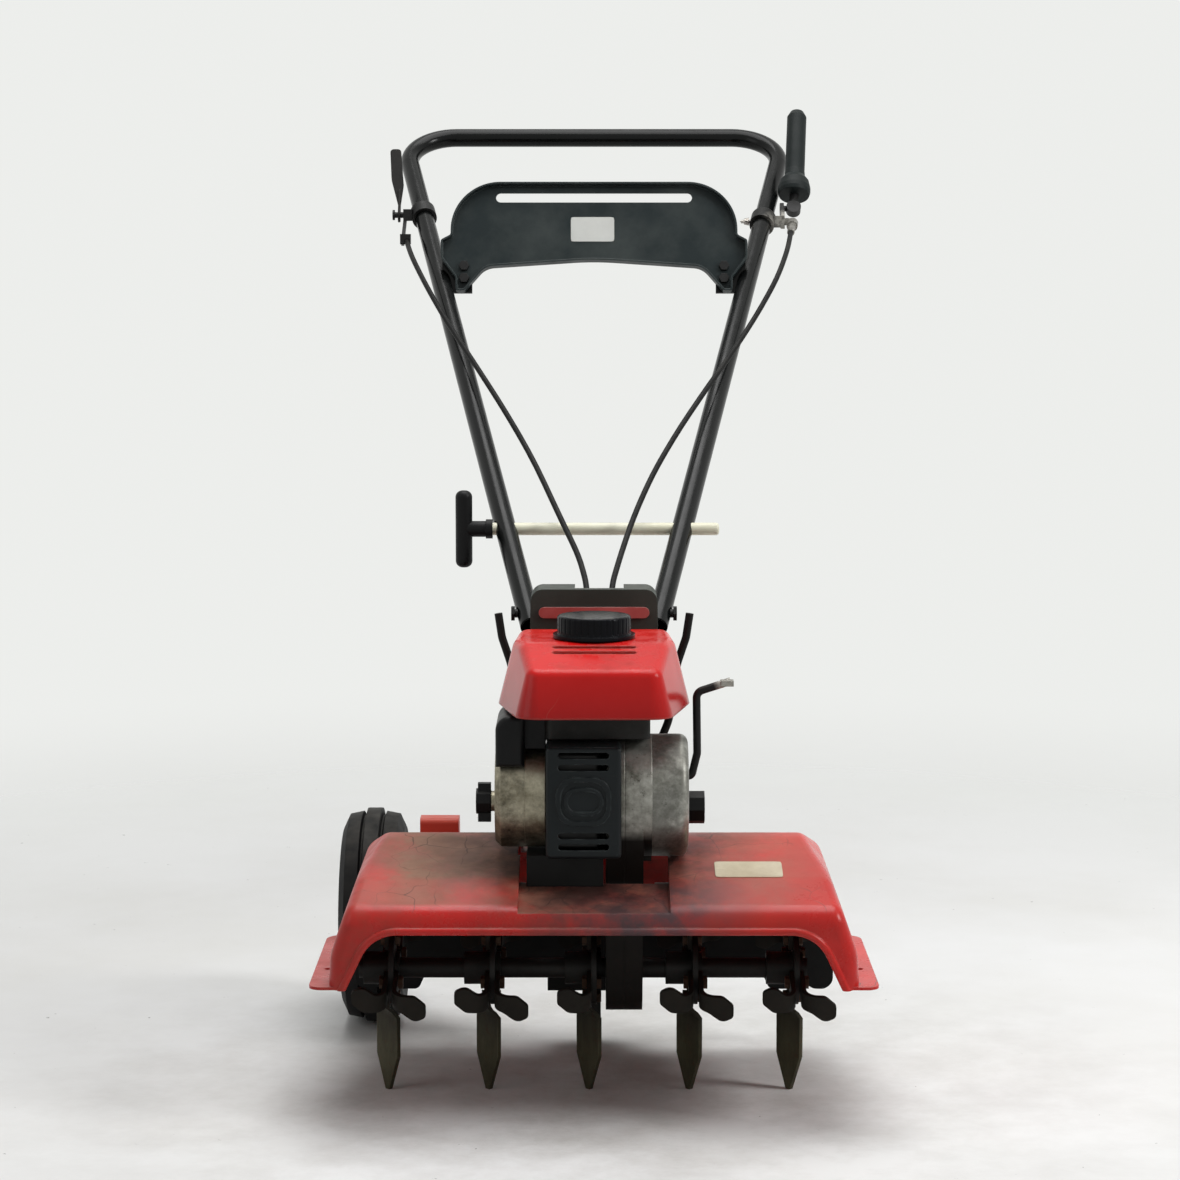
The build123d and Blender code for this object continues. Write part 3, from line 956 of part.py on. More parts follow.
def make_handlebar():
    below = -LEG_BELOW_PIVOT / LEG_RUN.length
    points = [leg_point(below, -1), leg_point(1, -1), leg_point(1, 1), leg_point(below, 1)]
    tube = bent_rod(points, HANDLE_BEND, TUBE_R) - bent_rod(points, HANDLE_BEND, TUBE_R - TUBE_WALL)
    pivot_x, pivot_y, pivot_z = LEG_FOOT
    tube -= bar_x(PIVOT_R + RUN_FIT, -2 * pivot_x, 2 * pivot_x, pivot_y, pivot_z)
    tie = leg_point(TIE_AT, 1)
    tube -= bar_x(TIE_R + RUN_FIT, -2 * tie.X, 2 * tie.X, tie.Y, tie.Z)
    tab_out = LEG_AT_PANEL
    tab_in = PANEL_FOOT_HALF - 2 * PANEL_BOLT_INSET
    tab = Pos((tab_in + tab_out) / 2, 22, -TAB_T / 2) * Box(tab_out - tab_in, 44, TAB_T)
    holes = [Pos(u, v, -TAB_T / 2) * Cylinder(BOLT_R + BOLT_HOLE_GAP, TAB_T) for u, v in panel_bolt_places()]
    tab = panel_plane() * (both_sides(tab) - holes)
    bore = bent_rod(points, HANDLE_BEND, TUBE_R - TUBE_WALL / 2)
    nodes["handlebar_tube"] = tube + (tab - bore)

    rod_left = T_BAR_X + T_BAR_R / 2
    nodes["tie_rod"] = fillet(bar_x(TIE_R, rod_left, TIE_RIGHT, tie.Y, tie.Z)
                              .faces().sort_by(Axis.X)[-1].edges(), TIE_R / 2)
    bar = Pos(T_BAR_X, tie.Y, tie.Z) * Cylinder(T_BAR_R, T_BAR_H)
    bar = fillet(bar.edges().filter_by(GeomType.CIRCLE), T_BAR_R * 0.8)
    collar = -tie.X - TUBE_R - 3
    bar += bar_x(TIE_R + 4, collar - 8, collar, tie.Y, tie.Z)
    bar += bar_x(TIE_R + 2, T_BAR_X, collar, tie.Y, tie.Z)
    nodes["t_handle"] = bar - bar_x(TIE_R + RUN_FIT, rod_left, collar, tie.Y, tie.Z)


def make_panel():
    half, foot, sheet = PANEL_HALF, PANEL_FOOT_HALF, PANEL_SHEET
    wing = foot + PANEL_WING
    side = [(foot - 12, 0, 3), (foot, 0, 3), (foot, 18, 6), (wing, 46, 8), (wing, 70, 4), (half, 77, 4),
            (half, PANEL_H, PANEL_CORNER)]
    arch = [(-foot + 40, 33, 26), (0, 43, 400), (foot - 40, 33, 26)]
    outline = rounded_face(arch + side + [(-u, v, r) for u, v, r in reversed(side)])
    tray = extrude(outline, amount=PANEL_RIM) - Pos(0, 0, sheet) * extrude(
        offset(outline, amount=-sheet), amount=PANEL_RIM)
    slot = Pos(0, PANEL_SLOT_V) * SlotOverall(2 * PANEL_SLOT_HALF, PANEL_SLOT_H)
    tray -= extrude(slot, amount=PANEL_RIM, both=True)
    holes = [Pos(u, v, sheet / 2) * Cylinder(BOLT_R + BOLT_HOLE_GAP, sheet) for u, v in panel_bolt_places()]
    nodes["console_panel"] = panel_plane() * (tray - holes)
    bolt = Rot(0, 90, 0) * hex_bolt(sheet + TAB_T)
    bolts = [Pos(u, v, sheet) * bolt for u, v in panel_bolt_places()]
    nodes["panel_bolts"] = group([panel_plane() * b for b in bolts])


def make_controls():
    clamp = Cylinder(CLAMP_R, CLAMP_L) - Cylinder(TUBE_R + RUN_FIT, CLAMP_L)
    at = leg_point(THROTTLE_AT, -1)
    start = route_point(*THROTTLE_ROUTE[0])
    plate_x = THROTTLE_X + 4
    bracket = leg_plane(THROTTLE_AT, -1) * clamp
    bracket += block(plate_x, at.X - TUBE_R - 3, at.Y - 9, at.Y + 9, at.Z - 8, at.Z + 8)
    bracket += along_x(rounded_face([(at.Y - 9, at.Z - 8, 0), (at.Y + 9, at.Z - 8, 0),
                                     (start.Y + 12, start.Z - 6, 0), (start.Y - 4, start.Z - 2, 0)]),
                       plate_x, plate_x + 4)
    bracket += Pos(start.X - 2, start.Y + 6, start.Z + 3) * Box(14, 16, 14)
    pin_end = THROTTLE_X - 8
    bracket += bar_x(BOLT_R, pin_end, plate_x, at.Y, at.Z)
    bracket += bar_x(BOLT_HEAD_R, pin_end - 3, pin_end, at.Y, at.Z)
    nodes["throttle_bracket"] = bracket - nodes["throttle_cable"]

    cheek = rounded_face([(-9, -10, 8), (9, -10, 8), (6, 40, 5), (-6, 40, 5)]) - Circle(BOLT_R + RUN_FIT)
    paddle = rounded_face([(-1.5, 14, 0), (1.5, 14, 0), (5, 48, 30), (0, 104, 5), (-15, 104, 5),
                           (-12, 56, 30)])
    lever = along_x(cheek, -1.5, 1.5) + along_y(paddle, -2.5, 2.5)
    nodes["throttle_lever"] = Pos(THROTTLE_X - 2, at.Y, at.Z) * Rot(-30, 0, 0) * lever

    at = leg_point(CLUTCH_AT, 1)
    start = route_point(*CLUTCH_ROUTE[0])
    pivot = Vector(CLUTCH_X, at.Y + 26, at.Z + 18)
    bracket = leg_plane(CLUTCH_AT, 1) * clamp
    cheek = CLUTCH_X - 14
    bracket += block(at.X + TUBE_R + 3, cheek, at.Y - 9, at.Y + 9, at.Z - 8, at.Z + 8)
    bracket += along_x(rounded_face([(at.Y - 9, at.Z - 10, 2), (at.Y + 14, at.Z - 8, 6),
                                     (pivot.Y + 9, pivot.Z + 6, 6), (pivot.Y - 9, pivot.Z + 8, 6),
                                     (at.Y - 9, at.Z + 8, 2)]), cheek - 5, cheek)
    bracket += bar_x(BOLT_R, cheek, CLUTCH_X + 9, pivot.Y, pivot.Z)
    barrel_dir = (Vector(CLUTCH_X - 2, at.Y + 4, at.Z) - start).normalized()
    barrel = Plane(origin=start, z_dir=barrel_dir)
    length = (Vector(CLUTCH_X - 2, at.Y + 4, at.Z) - start).length
    bracket += barrel * (Pos(0, 0, length / 2) * Cylinder(5, length))
    bracket += barrel * (Pos(0, 0, length * 0.72) * Cylinder(7.5, length * 0.3))
    bracket += block(cheek - 2, CLUTCH_X, at.Y - 5, at.Y + 9, at.Z - 5, at.Z + 5)
    nodes["clutch_bracket"] = bracket - nodes["clutch_cable"]

    grip = Plane(origin=pivot, z_dir=(0.06, 0.545, 0.836))
    stem = Pos(0, 0, 80) * Cylinder(6, 150) + Pos(0, 0, 0) * Rot(0, 90, 0) * Cylinder(10, 13)
    lever = grip * stem - bar_x(BOLT_R + RUN_FIT, CLUTCH_X - 30, CLUTCH_X + 30, pivot.Y, pivot.Z)
    nodes["clutch_lever"] = lever
    profile = make_face(Polyline((6, 22), (21, 22), (BELL_R, 27), (BELL_R, 33), (20, 44), (GRIP_R + 1, 52),
                                 (GRIP_R, 62), (GRIP_R, 152), (GRIP_R - 4, 160), (0, 161), (0, 155), (6, 155),
                                 close=True))
    sleeve = revolve(Plane.XZ * profile, Axis.Z)
    nodes["clutch_grip"] = grip * sleeve


def route_point(share, along, rise):
    p = Vector(*LEG_FOOT) + LEG_RUN * along
    return Vector(share * p.X, p.Y, p.Z + rise)


def cable(route):
    points = [route_point(*p) for p in route]
    radii = []
    for a, b, c in zip(points, points[1:], points[2:]):
        turn = radians((b - a).get_angle(c - b))
        run = min((b - a).length, (c - b).length)
        radii.append(0.45 * run / tan(turn / 2))
    tube = bent_rod(points, radii, CABLE_R)
    length = FilletPolyline(*points, radius=radii).length
    share = tube.volume / (pi * CABLE_R ** 2 * length)
    print("cable bends", [round(r) for r in radii], "length", round(length), "volume share", round(share, 4))
    return tube


# Transport wheel
def make_wheel():
    w = WHEEL_W / 2
    tread = make_face(Polyline(
        (RIM_R, -w + 6), (RIM_R + 16, -w), (WHEEL_R - 22, -w), (WHEEL_R - 7, -w + 7),
        (WHEEL_R - 4, -14), (WHEEL_R - 9, -12), (WHEEL_R - 9, -10), (WHEEL_R, -8.5), (WHEEL_R, 8.5),
        (WHEEL_R - 9, 10), (WHEEL_R - 9, 12), (WHEEL_R - 4, 14), (WHEEL_R - 7, w - 7),
        (WHEEL_R - 22, w), (RIM_R + 16, w), (RIM_R, w - 6), close=True))
    seat = Pos(WHEEL_X, AXLE_Y, WHEEL_R) * Rot(0, 90, 0)
    nodes["tyre"] = seat * revolve(Plane.XZ * tread, Axis.Z)
    bore = AXLE_R + RUN_FIT
    disc = make_face(Polyline(
        (bore, -w + 4), (HUB_WHEEL_R, -w + 4), (HUB_WHEEL_R, -5), (RIM_R - 8, -5), (RIM_R - 8, -w + 8),
        (RIM_R, -w + 6), (RIM_R, w - 6), (RIM_R - 8, w - 8), (RIM_R - 8, 5), (HUB_WHEEL_R, 5),
        (HUB_WHEEL_R, w), (bore, w), close=True))
    rim = revolve(Plane.XZ * disc, Axis.Z)
    nodes["wheel_rim"] = seat * rim

    hub = CROSS_TUBE_R + ARM_SHEET + FREE_GAP
    outline = rounded_face([
        (CROSS_TUBE_Y - hub, CROSS_TUBE_Z - 8, 10), (CROSS_TUBE_Y - hub, ARM_TOP, 6),
        (CROSS_TUBE_Y + 12, ARM_TOP, 10), (CROSS_TUBE_Y + hub, CROSS_TUBE_Z + 14, 16),
        (AXLE_Y + 16, WHEEL_R + 12, 14), (AXLE_Y + 10, WHEEL_R - 18, 14), (AXLE_Y - 14, WHEEL_R - 18, 14)])
    arm = along_x(outline, ARM_LEFT, ARM_RIGHT)
    web = CROSS_TUBE_Y - hub + ARM_SHEET
    hollow = along_x(rounded_face([
        (web, CROSS_TUBE_Z + hub, 0), (web, ARM_TOP - ARM_SHEET, 0),
        (CROSS_TUBE_Y + 30, ARM_TOP - ARM_SHEET, 0), (CROSS_TUBE_Y + 30, CROSS_TUBE_Z + hub, 0)]),
        ARM_LEFT + ARM_SHEET, ARM_RIGHT - ARM_SHEET)
    arm -= hollow
    arm -= bar_x(CROSS_TUBE_R + RUN_FIT, ARM_LEFT, ARM_RIGHT, CROSS_TUBE_Y, CROSS_TUBE_Z)
    arm -= bar_x(AXLE_R + RUN_FIT, ARM_LEFT, ARM_RIGHT, AXLE_Y, WHEEL_R)
    nodes["wheel_arm"] = arm
    axle = bar_x(AXLE_R, WHEEL_OUT, ARM_RIGHT + 10, AXLE_Y, WHEEL_R)
    axle += Pos(0, AXLE_Y, WHEEL_R) * along_x(RegularPolygon(14, 6), ARM_RIGHT, ARM_RIGHT + 8)
    collar = Circle(14) - Circle(AXLE_R)
    axle += Pos(0, AXLE_Y, WHEEL_R) * along_x(collar, WHEEL_IN + FREE_GAP, ARM_LEFT)
    axle += Pos(0, AXLE_Y, WHEEL_R) * along_x(collar, WHEEL_OUT, WHEEL_OUT + 4 - FREE_GAP)
    nodes["axle_bolt"] = axle


make_rotor()
make_chain_drive()
make_chain_case()
make_crank()
make_crankcase()
make_muffler()
make_blower()
make_drum_cover()
make_frame()
make_fender()
make_hood()
make_column()
make_handlebar()
make_panel()
nodes["throttle_cable"] = cable(THROTTLE_ROUTE)
nodes["clutch_cable"] = cable(CLUTCH_ROUTE)
make_controls()
make_wheel()

os.makedirs("parts", exist_ok=True)
for name, shape in nodes.items():
    export_step(Pos(0, -MIDDLE_Y, 0) * shape, f"parts/{name}.step")
print(len(nodes), "nodes")
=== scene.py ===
import math

import bmesh
import bpy
from mathutils import Matrix, Vector


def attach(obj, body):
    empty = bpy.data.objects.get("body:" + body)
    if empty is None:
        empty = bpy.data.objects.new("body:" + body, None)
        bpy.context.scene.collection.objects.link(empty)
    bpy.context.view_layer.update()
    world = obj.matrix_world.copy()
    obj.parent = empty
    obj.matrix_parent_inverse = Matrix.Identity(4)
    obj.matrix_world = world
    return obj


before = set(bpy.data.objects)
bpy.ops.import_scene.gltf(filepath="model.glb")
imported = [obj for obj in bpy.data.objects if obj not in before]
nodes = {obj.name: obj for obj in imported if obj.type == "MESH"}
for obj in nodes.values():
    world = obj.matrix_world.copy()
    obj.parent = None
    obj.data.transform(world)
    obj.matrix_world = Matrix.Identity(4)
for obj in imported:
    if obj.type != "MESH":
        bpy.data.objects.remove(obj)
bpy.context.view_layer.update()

# The rotor axis, in metres
ROTOR_Y = -0.46875
ROTOR_Z = 0.137


def at(x, y, z):
    """Point in metres from millimetres measured off the rotor axis."""
    return Vector((x / 1000, y / 1000 + ROTOR_Y, z / 1000))


# Camera, for a square image
IMAGE_PX = 1180.0
FOCAL_PX = 3029.0
SENSOR = 36.0
PITCH = 6.57
YAW = -0.07
CAMERA_PLACE = (-0.4, -3277.0, 934.4)
camera_data = bpy.data.cameras.new("camera")
camera = bpy.data.objects.new("camera", camera_data)
bpy.context.collection.objects.link(camera)
camera_data.sensor_width = SENSOR
camera_data.lens = SENSOR * FOCAL_PX / IMAGE_PX
camera_data.clip_start = 0.05
camera_data.clip_end = 60
camera.location = at(*CAMERA_PLACE)
camera.rotation_euler = (math.radians(90 - PITCH), 0, math.radians(-YAW))
bpy.context.scene.camera = camera


# Materials
class Maker:
    """Small helper that chains shader nodes in one material."""

    def __init__(self, name):
        self.material = bpy.data.materials.new(name)
        self.material.use_nodes = True
        self.tree = self.material.node_tree
        self.bsdf = self.tree.nodes["Principled BSDF"]
        self.place = self.add("ShaderNodeTexCoord").outputs["Object"]
        self.normal = None

    def add(self, kind, **values):
        """New shader node with its settings."""
        node = self.tree.nodes.new(kind)
        for key, value in values.items():
            setattr(node, key, value)
        return node

    def link(self, a, b):
        self.tree.links.new(a, b)

    def put(self, socket, value):
        """Gives a socket a constant or a link."""
        if isinstance(value, (int, float)):
            socket.default_value = value
        elif isinstance(value, tuple):
            socket.default_value = (*value, 1) if len(socket.default_value) == 4 else value
        else:
            self.link(value, socket)

    def noise(self, scale, detail=6.0, rough=0.6, stretch=None):
        node = self.add("ShaderNodeTexNoise")
        node.inputs["Scale"].default_value = scale
        node.inputs["Detail"].default_value = detail
        node.inputs["Roughness"].default_value = rough
        place = self.place
        if stretch:
            mapping = self.add("ShaderNodeMapping")
            mapping.inputs["Scale"].default_value = stretch
            self.link(self.place, mapping.inputs["Vector"])
            place = mapping.outputs["Vector"]
        self.link(place, node.inputs["Vector"])
        return node.outputs["Fac"]

    def ramp(self, source, low, high, a=0.0, b=1.0):
        """Maps low to a and high to b, and holds both ends."""
        node = self.add("ShaderNodeMapRange")
        node.inputs["From Min"].default_value = low
        node.inputs["From Max"].default_value = high
        node.inputs["To Min"].default_value = a
        node.inputs["To Max"].default_value = b
        self.link(source, node.inputs["Value"])
        return node.outputs["Result"]

    def math(self, how, a, b=0.0):
        node = self.add("ShaderNodeMath", operation=how)
        self.put(node.inputs[0], a)
        self.put(node.inputs[1], b)
        return node.outputs[0]

    def times(self, *factors):
        out = factors[0]
        for factor in factors[1:]:
            out = self.math("MULTIPLY", out, factor)
        return out

    def mix(self, share, a, b):
        node = self.add("ShaderNodeMix", data_type="RGBA")
        self.link(share, node.inputs["Factor"])
        self.put(node.inputs[6], a)
        self.put(node.inputs[7], b)
        return node.outputs[2]

    def along(self, axis):
        """Place in metres along one axis of the object."""
        split = self.add("ShaderNodeSeparateXYZ")
        self.link(self.place, split.inputs[0])
        return split.outputs[axis]

    def near(self, centre, radius):
        """Falls from 1 at a point to 0 at a radius from it."""
        node = self.add("ShaderNodeVectorMath", operation="DISTANCE")
        self.link(self.place, node.inputs[0])
        node.inputs[1].default_value = centre
        return self.ramp(node.outputs["Value"], 0.0, radius, 1.0, 0.0)

    def upward(self, low=0.35, high=0.95):
        """How far the surface faces up, from 0 to 1."""
        split = self.add("ShaderNodeSeparateXYZ")
        self.link(self.add("ShaderNodeNewGeometry").outputs["Normal"], split.inputs[0])
        return self.ramp(split.outputs["Z"], low, high)

    def round_edges(self, radius):
        """Rounds the shading of hard edges, and gives a mask of those edges."""
        node = self.add("ShaderNodeBevel", samples=4)
        node.inputs["Radius"].default_value = radius
        self.normal = node.outputs["Normal"]
        dot = self.add("ShaderNodeVectorMath", operation="DOT_PRODUCT")
        self.link(self.normal, dot.inputs[0])
        self.link(self.add("ShaderNodeNewGeometry").outputs["Normal"], dot.inputs[1])
        return self.ramp(dot.outputs["Value"], 0.99, 0.86)

    def cracks(self, scale, width):
        """Thin wandering lines, as in dried mud."""
        drift = self.add("ShaderNodeTexNoise")
        drift.inputs["Scale"].default_value = scale * 0.9
        self.link(self.place, drift.inputs["Vector"])
        shift = self.add("ShaderNodeVectorMath", operation="MULTIPLY_ADD")
        self.link(drift.outputs["Color"], shift.inputs[0])
        shift.inputs[1].default_value = (0.05, 0.05, 0.05)
        self.link(self.place, shift.inputs[2])
        cells = self.add("ShaderNodeTexVoronoi", feature="DISTANCE_TO_EDGE")
        cells.inputs["Scale"].default_value = scale
        self.link(shift.outputs["Vector"], cells.inputs["Vector"])
        return self.ramp(cells.outputs["Distance"], 0.0, width, 1.0, 0.0)

    def bump(self, source, depth, distance=0.001):
        """Adds small relief to the shading."""
        node = self.add("ShaderNodeBump")
        node.inputs["Strength"].default_value = depth
        node.inputs["Distance"].default_value = distance
        self.link(source, node.inputs["Height"])
        if self.normal:
            self.link(self.normal, node.inputs["Normal"])
        self.normal = node.outputs["Normal"]

    def done(self, colour, roughness, metallic=0.0, coat=0.0, specular=0.5):
        """Joins all to the shader. A link to Metallic that is already there stays."""
        self.link(colour, self.bsdf.inputs["Base Color"])
        self.link(roughness, self.bsdf.inputs["Roughness"])
        if not self.bsdf.inputs["Metallic"].is_linked:
            self.bsdf.inputs["Metallic"].default_value = metallic
        self.bsdf.inputs["Coat Weight"].default_value = coat
        self.bsdf.inputs["Coat Roughness"].default_value = 0.1
        self.bsdf.inputs["Specular IOR Level"].default_value = specular
        if self.normal:
            self.link(self.normal, self.bsdf.inputs["Normal"])
        return self.material


def painted(name, base, deep, dust, dust_share, rough, coat=0.0, chips=0.0, edge=0.0,
            wear_and_light=(0.2, 0.19, 0.18), specular=0.5, radius=0.0012, bare=None):
    """Paint with paler patches, dust on top, fine scratches, chips, edges in a given colour for wear and
    painted highlight, and one bare place.
    """
    m = Maker(name)
    edges = m.round_edges(radius)
    colour = m.mix(m.ramp(m.noise(9.0), 0.38, 0.66), base, deep)
    settled = m.times(m.upward(), m.ramp(m.noise(14.0, 9.0, 0.7), 0.36, 0.72, 0.0, dust_share))
    colour = m.mix(settled, colour, dust)
    scratch = m.ramp(m.noise(160.0, 2.0, 0.5, (0.12, 1.0, 1.0)), 0.68, 0.76, 0.0, 0.15)
    colour = m.mix(scratch, colour, dust)
    # Edges in a given colour: wear, and on the muffler guard a painted highlight.
    if edge:
        rubbed = m.times(edges, m.ramp(m.noise(60.0, 6.0), 0.42, 0.62, 0.0, edge))
        colour = m.mix(rubbed, colour, wear_and_light)
    if chips:
        spots = m.ramp(m.noise(70.0, 8.0, 0.75), 0.69, 0.72, 0.0, chips)
        colour = m.mix(spots, colour, (0.07, 0.04, 0.026))
    gloss = m.ramp(m.noise(30.0), 0.3, 0.7, rough - 0.07, rough + 0.08)
    gloss = m.math("ADD", gloss, m.times(settled, 0.35))
    if bare:
        spot = m.times(m.ramp(m.near(*bare), 0.1, 0.4), m.ramp(m.noise(90.0, 8.0, 0.7), 0.34, 0.5))
        colour = m.mix(spot, colour, m.mix(m.noise(200.0, 4.0), (0.40, 0.39, 0.36), (0.16, 0.15, 0.13)))
        m.link(m.times(spot, 0.8), m.bsdf.inputs["Metallic"])
    m.bump(m.noise(220.0, 3.0), 0.05, 0.0004)
    return m.done(colour, gloss, 0.0, coat, specular)


def bare_metal(name, base, stain, stain_share, rough, metallic=1.0, grain=0.15, scale=18.0, grime=0.0):
    """Metal with stains, a cast or brushed grain, grime in patches and streaks, and uneven gloss."""
    m = Maker(name)
    edges = m.round_edges(0.0012)
    stains = m.ramp(m.noise(scale, 10.0, 0.72), 0.42, 0.60, 0.0, stain_share)
    colour = m.mix(stains, base, stain)
    fine = m.ramp(m.noise(240.0, 4.0), 0.35, 0.7, 0.0, 0.25)
    colour = m.mix(fine, colour, stain)
    if grime:
        dark_patch = m.times(m.ramp(m.noise(13.0, 9.0, 0.7), 0.47, 0.60), grime)
        colour = m.mix(dark_patch, colour, (0.016, 0.014, 0.011))
        spots = m.ramp(m.noise(75.0, 7.0, 0.75), 0.62, 0.68, 0.0, grime)
        colour = m.mix(spots, colour, (0.02, 0.016, 0.011))
        runs = m.ramp(m.noise(50.0, 3.0, 0.6, (1.0, 1.0, 0.12)), 0.58, 0.70, 0.0, 0.5 * grime)
        colour = m.mix(runs, colour, (0.05, 0.042, 0.03))
    colour = m.mix(m.times(edges, 0.35), colour, tuple(min(1.0, 1.7 * c) for c in base))
    m.bump(m.noise(320.0, 5.0), grain, 0.0006)
    gloss = m.ramp(m.noise(26.0), 0.3, 0.7, rough - 0.1, rough + 0.12)
    return m.done(colour, gloss, metallic, specular=0.3)


def moulded(name, base, pale, rough, grain=0.12, scale=500.0, dust=0.15, specular=0.3):
    """Plastic or rubber with a fine moulded grain, faded patches and a little dust."""
    m = Maker(name)
    edges = m.round_edges(0.0015)
    colour = m.mix(m.ramp(m.noise(12.0), 0.4, 0.7, 0.0, 0.5), base, pale)
    settled = m.times(m.upward(), m.ramp(m.noise(24.0, 8.0), 0.4, 0.7, 0.0, dust))
    colour = m.mix(settled, colour, (0.12, 0.11, 0.095))
    colour = m.mix(m.times(edges, 0.4), colour, tuple(2.2 * c for c in pale))
    m.bump(m.noise(scale, 3.0), grain, 0.0005)
    gloss = m.ramp(m.noise(40.0), 0.3, 0.7, rough - 0.06, rough + 0.08)
    return m.done(colour, gloss, specular=specular)


# Soot on the fender, and painted shade in the recess under the engine: place, reach in metres, colour
SOOT_AND_SHADE = ((at(45, -165, 245), 0.13, (0.075, 0.045, 0.055)),
        (at(-10, -60, 290), 0.19, (0.035, 0.018, 0.013)),
        (at(0, 60, 252), 0.22, (0.03, 0.010, 0.010)))
HOOD_TOP_LIGHT = (at(0, -60, 0).y, at(0, 60, 0).y)   # Y from which the hood is paler, a painted light on its top, and where fully
HOOD_SHADE = (0.486, 0.440)                      # Z below which the hood is darker red as a painted shade, and where fully
CASE_SHADE = (0.312, 0.300)                     # Z below which the chain case is black as a painted shade, and where fully
PICK_SLOPE = (0.75, 0.55)                       # slope from the rotor at which slashers end and picks begin
PICK_SHADE_REACH = (0.035, 0.085)                     # painted shade: black near the hub, to olive further out


def fender_paint():
    """Red paint under dried mud on top, with cracks, specks, a soot stain, and painted shade by the engine,
    in the recess under it.
    """
    m = Maker("fender_paint")
    edges = m.round_edges(0.002)
    colour = m.mix(m.ramp(m.noise(7.0), 0.36, 0.66), (0.68, 0.016, 0.012), (0.50, 0.011, 0.009))
    middle = m.ramp(m.math("ABSOLUTE", m.along("X")), 0.27, 0.06)
    aside = m.ramp(m.along("X"), 0.02, -0.30, 0.10, 0.55)
    film = m.times(m.ramp(m.noise(9.0, 9.0, 0.68), 0.38, 0.62),
                   m.math("ADD", aside, m.times(middle, 0.5)))
    colour = m.mix(film, colour, (0.15, 0.062, 0.04))
    left = m.times(m.ramp(m.along("X"), 0.22, -0.12, 0.45, 1.0),
                   m.ramp(m.math("ABSOLUTE", m.along("X")), 0.265, 0.20, 0.1, 1.0))
    crust = m.ramp(m.noise(12.0, 10.0, 0.72), 0.32, 0.54, 0.22, 1.0)
    mud = m.times(m.upward(0.86, 0.985), crust, left)
    dirt = m.mix(m.noise(40.0, 8.0, 0.7), (0.17, 0.085, 0.052), (0.36, 0.205, 0.14))
    colour = m.mix(mud, colour, dirt)
    broken = m.ramp(m.noise(6.0, 3.0), 0.44, 0.56)
    veins = m.times(m.cracks(19.0, 0.016), broken, m.upward(0.6, 0.95), 0.85)
    colour = m.mix(veins, colour, (0.045, 0.018, 0.012))
    # The first patch is a soot stain; the second and third are painted shade under the engine.
    for place, reach, shade in SOOT_AND_SHADE:
        patch = m.ramp(m.near(tuple(place), reach), 0.0, 0.7)
        dark_patch = m.times(patch, m.ramp(m.noise(22.0, 8.0), 0.28, 0.58), 0.95)
        colour = m.mix(dark_patch, colour, shade)
    specks = m.ramp(m.noise(95.0, 8.0, 0.78), 0.655, 0.685, 0.0, 0.85)
    colour = m.mix(m.times(specks, m.upward(0.2, 0.9)), colour, (0.05, 0.022, 0.015))
    rubbed = m.times(edges, m.ramp(m.noise(34.0, 6.0), 0.42, 0.64, 0.0, 0.6))
    colour = m.mix(rubbed, colour, (0.62, 0.26, 0.21))
    dull = m.math("MAXIMUM", mud, m.times(film, 0.9))
    gloss = m.math("ADD", m.ramp(m.noise(30.0), 0.3, 0.7, 0.18, 0.30), m.times(dull, 0.45))
    relief = m.times(m.noise(130.0, 6.0), m.math("ADD", dull, 0.10))
    m.bump(m.math("ADD", relief, m.times(veins, -0.6)), 0.24)
    return m.done(colour, gloss, specular=0.3)


def hood_paint():
    """Bright glossy red, paler at the back as painted light on the top, darker low down as painted shade,
    with a painted highlight on the edges and a few fine curved scratches.
    """
    m = Maker("hood_paint")
    edges = m.round_edges(0.004)
    colour = m.mix(m.ramp(m.noise(6.0), 0.36, 0.66), (0.76, 0.010, 0.009), (0.62, 0.007, 0.006))
    # Painted light: the hood paler towards the back, over its top.
    top_light = m.times(m.ramp(m.along("Y"), *HOOD_TOP_LIGHT), m.ramp(m.noise(16.0), 0.3, 0.7, 0.1, 0.6))
    colour = m.mix(top_light, colour, (0.72, 0.07, 0.055))
    lines = m.times(m.cracks(13.0, 0.006), m.ramp(m.noise(10.0, 3.0), 0.56, 0.64), 0.6)
    colour = m.mix(lines, colour, (0.62, 0.16, 0.13))
    grime = m.times(m.upward(0.5, 0.95), m.ramp(m.noise(30.0, 8.0), 0.46, 0.70, 0.0, 0.35))
    colour = m.mix(grime, colour, (0.16, 0.05, 0.04))
    # Painted shade: darker red low down on the hood.
    low = m.ramp(m.along("Z"), *HOOD_SHADE, 0.0, 0.6)
    colour = m.mix(low, colour, (0.27, 0.002, 0.002))
    # Painted highlight: paler red along the hood's edges and ridge.
    colour = m.mix(m.times(edges, 0.5), colour, (0.85, 0.20, 0.16))
    m.bump(m.noise(150.0, 3.0), 0.03, 0.0004)
    gloss = m.math("ADD", m.ramp(m.noise(24.0), 0.3, 0.7, 0.15, 0.24), grime)
    return m.done(colour, gloss, specular=0.22)


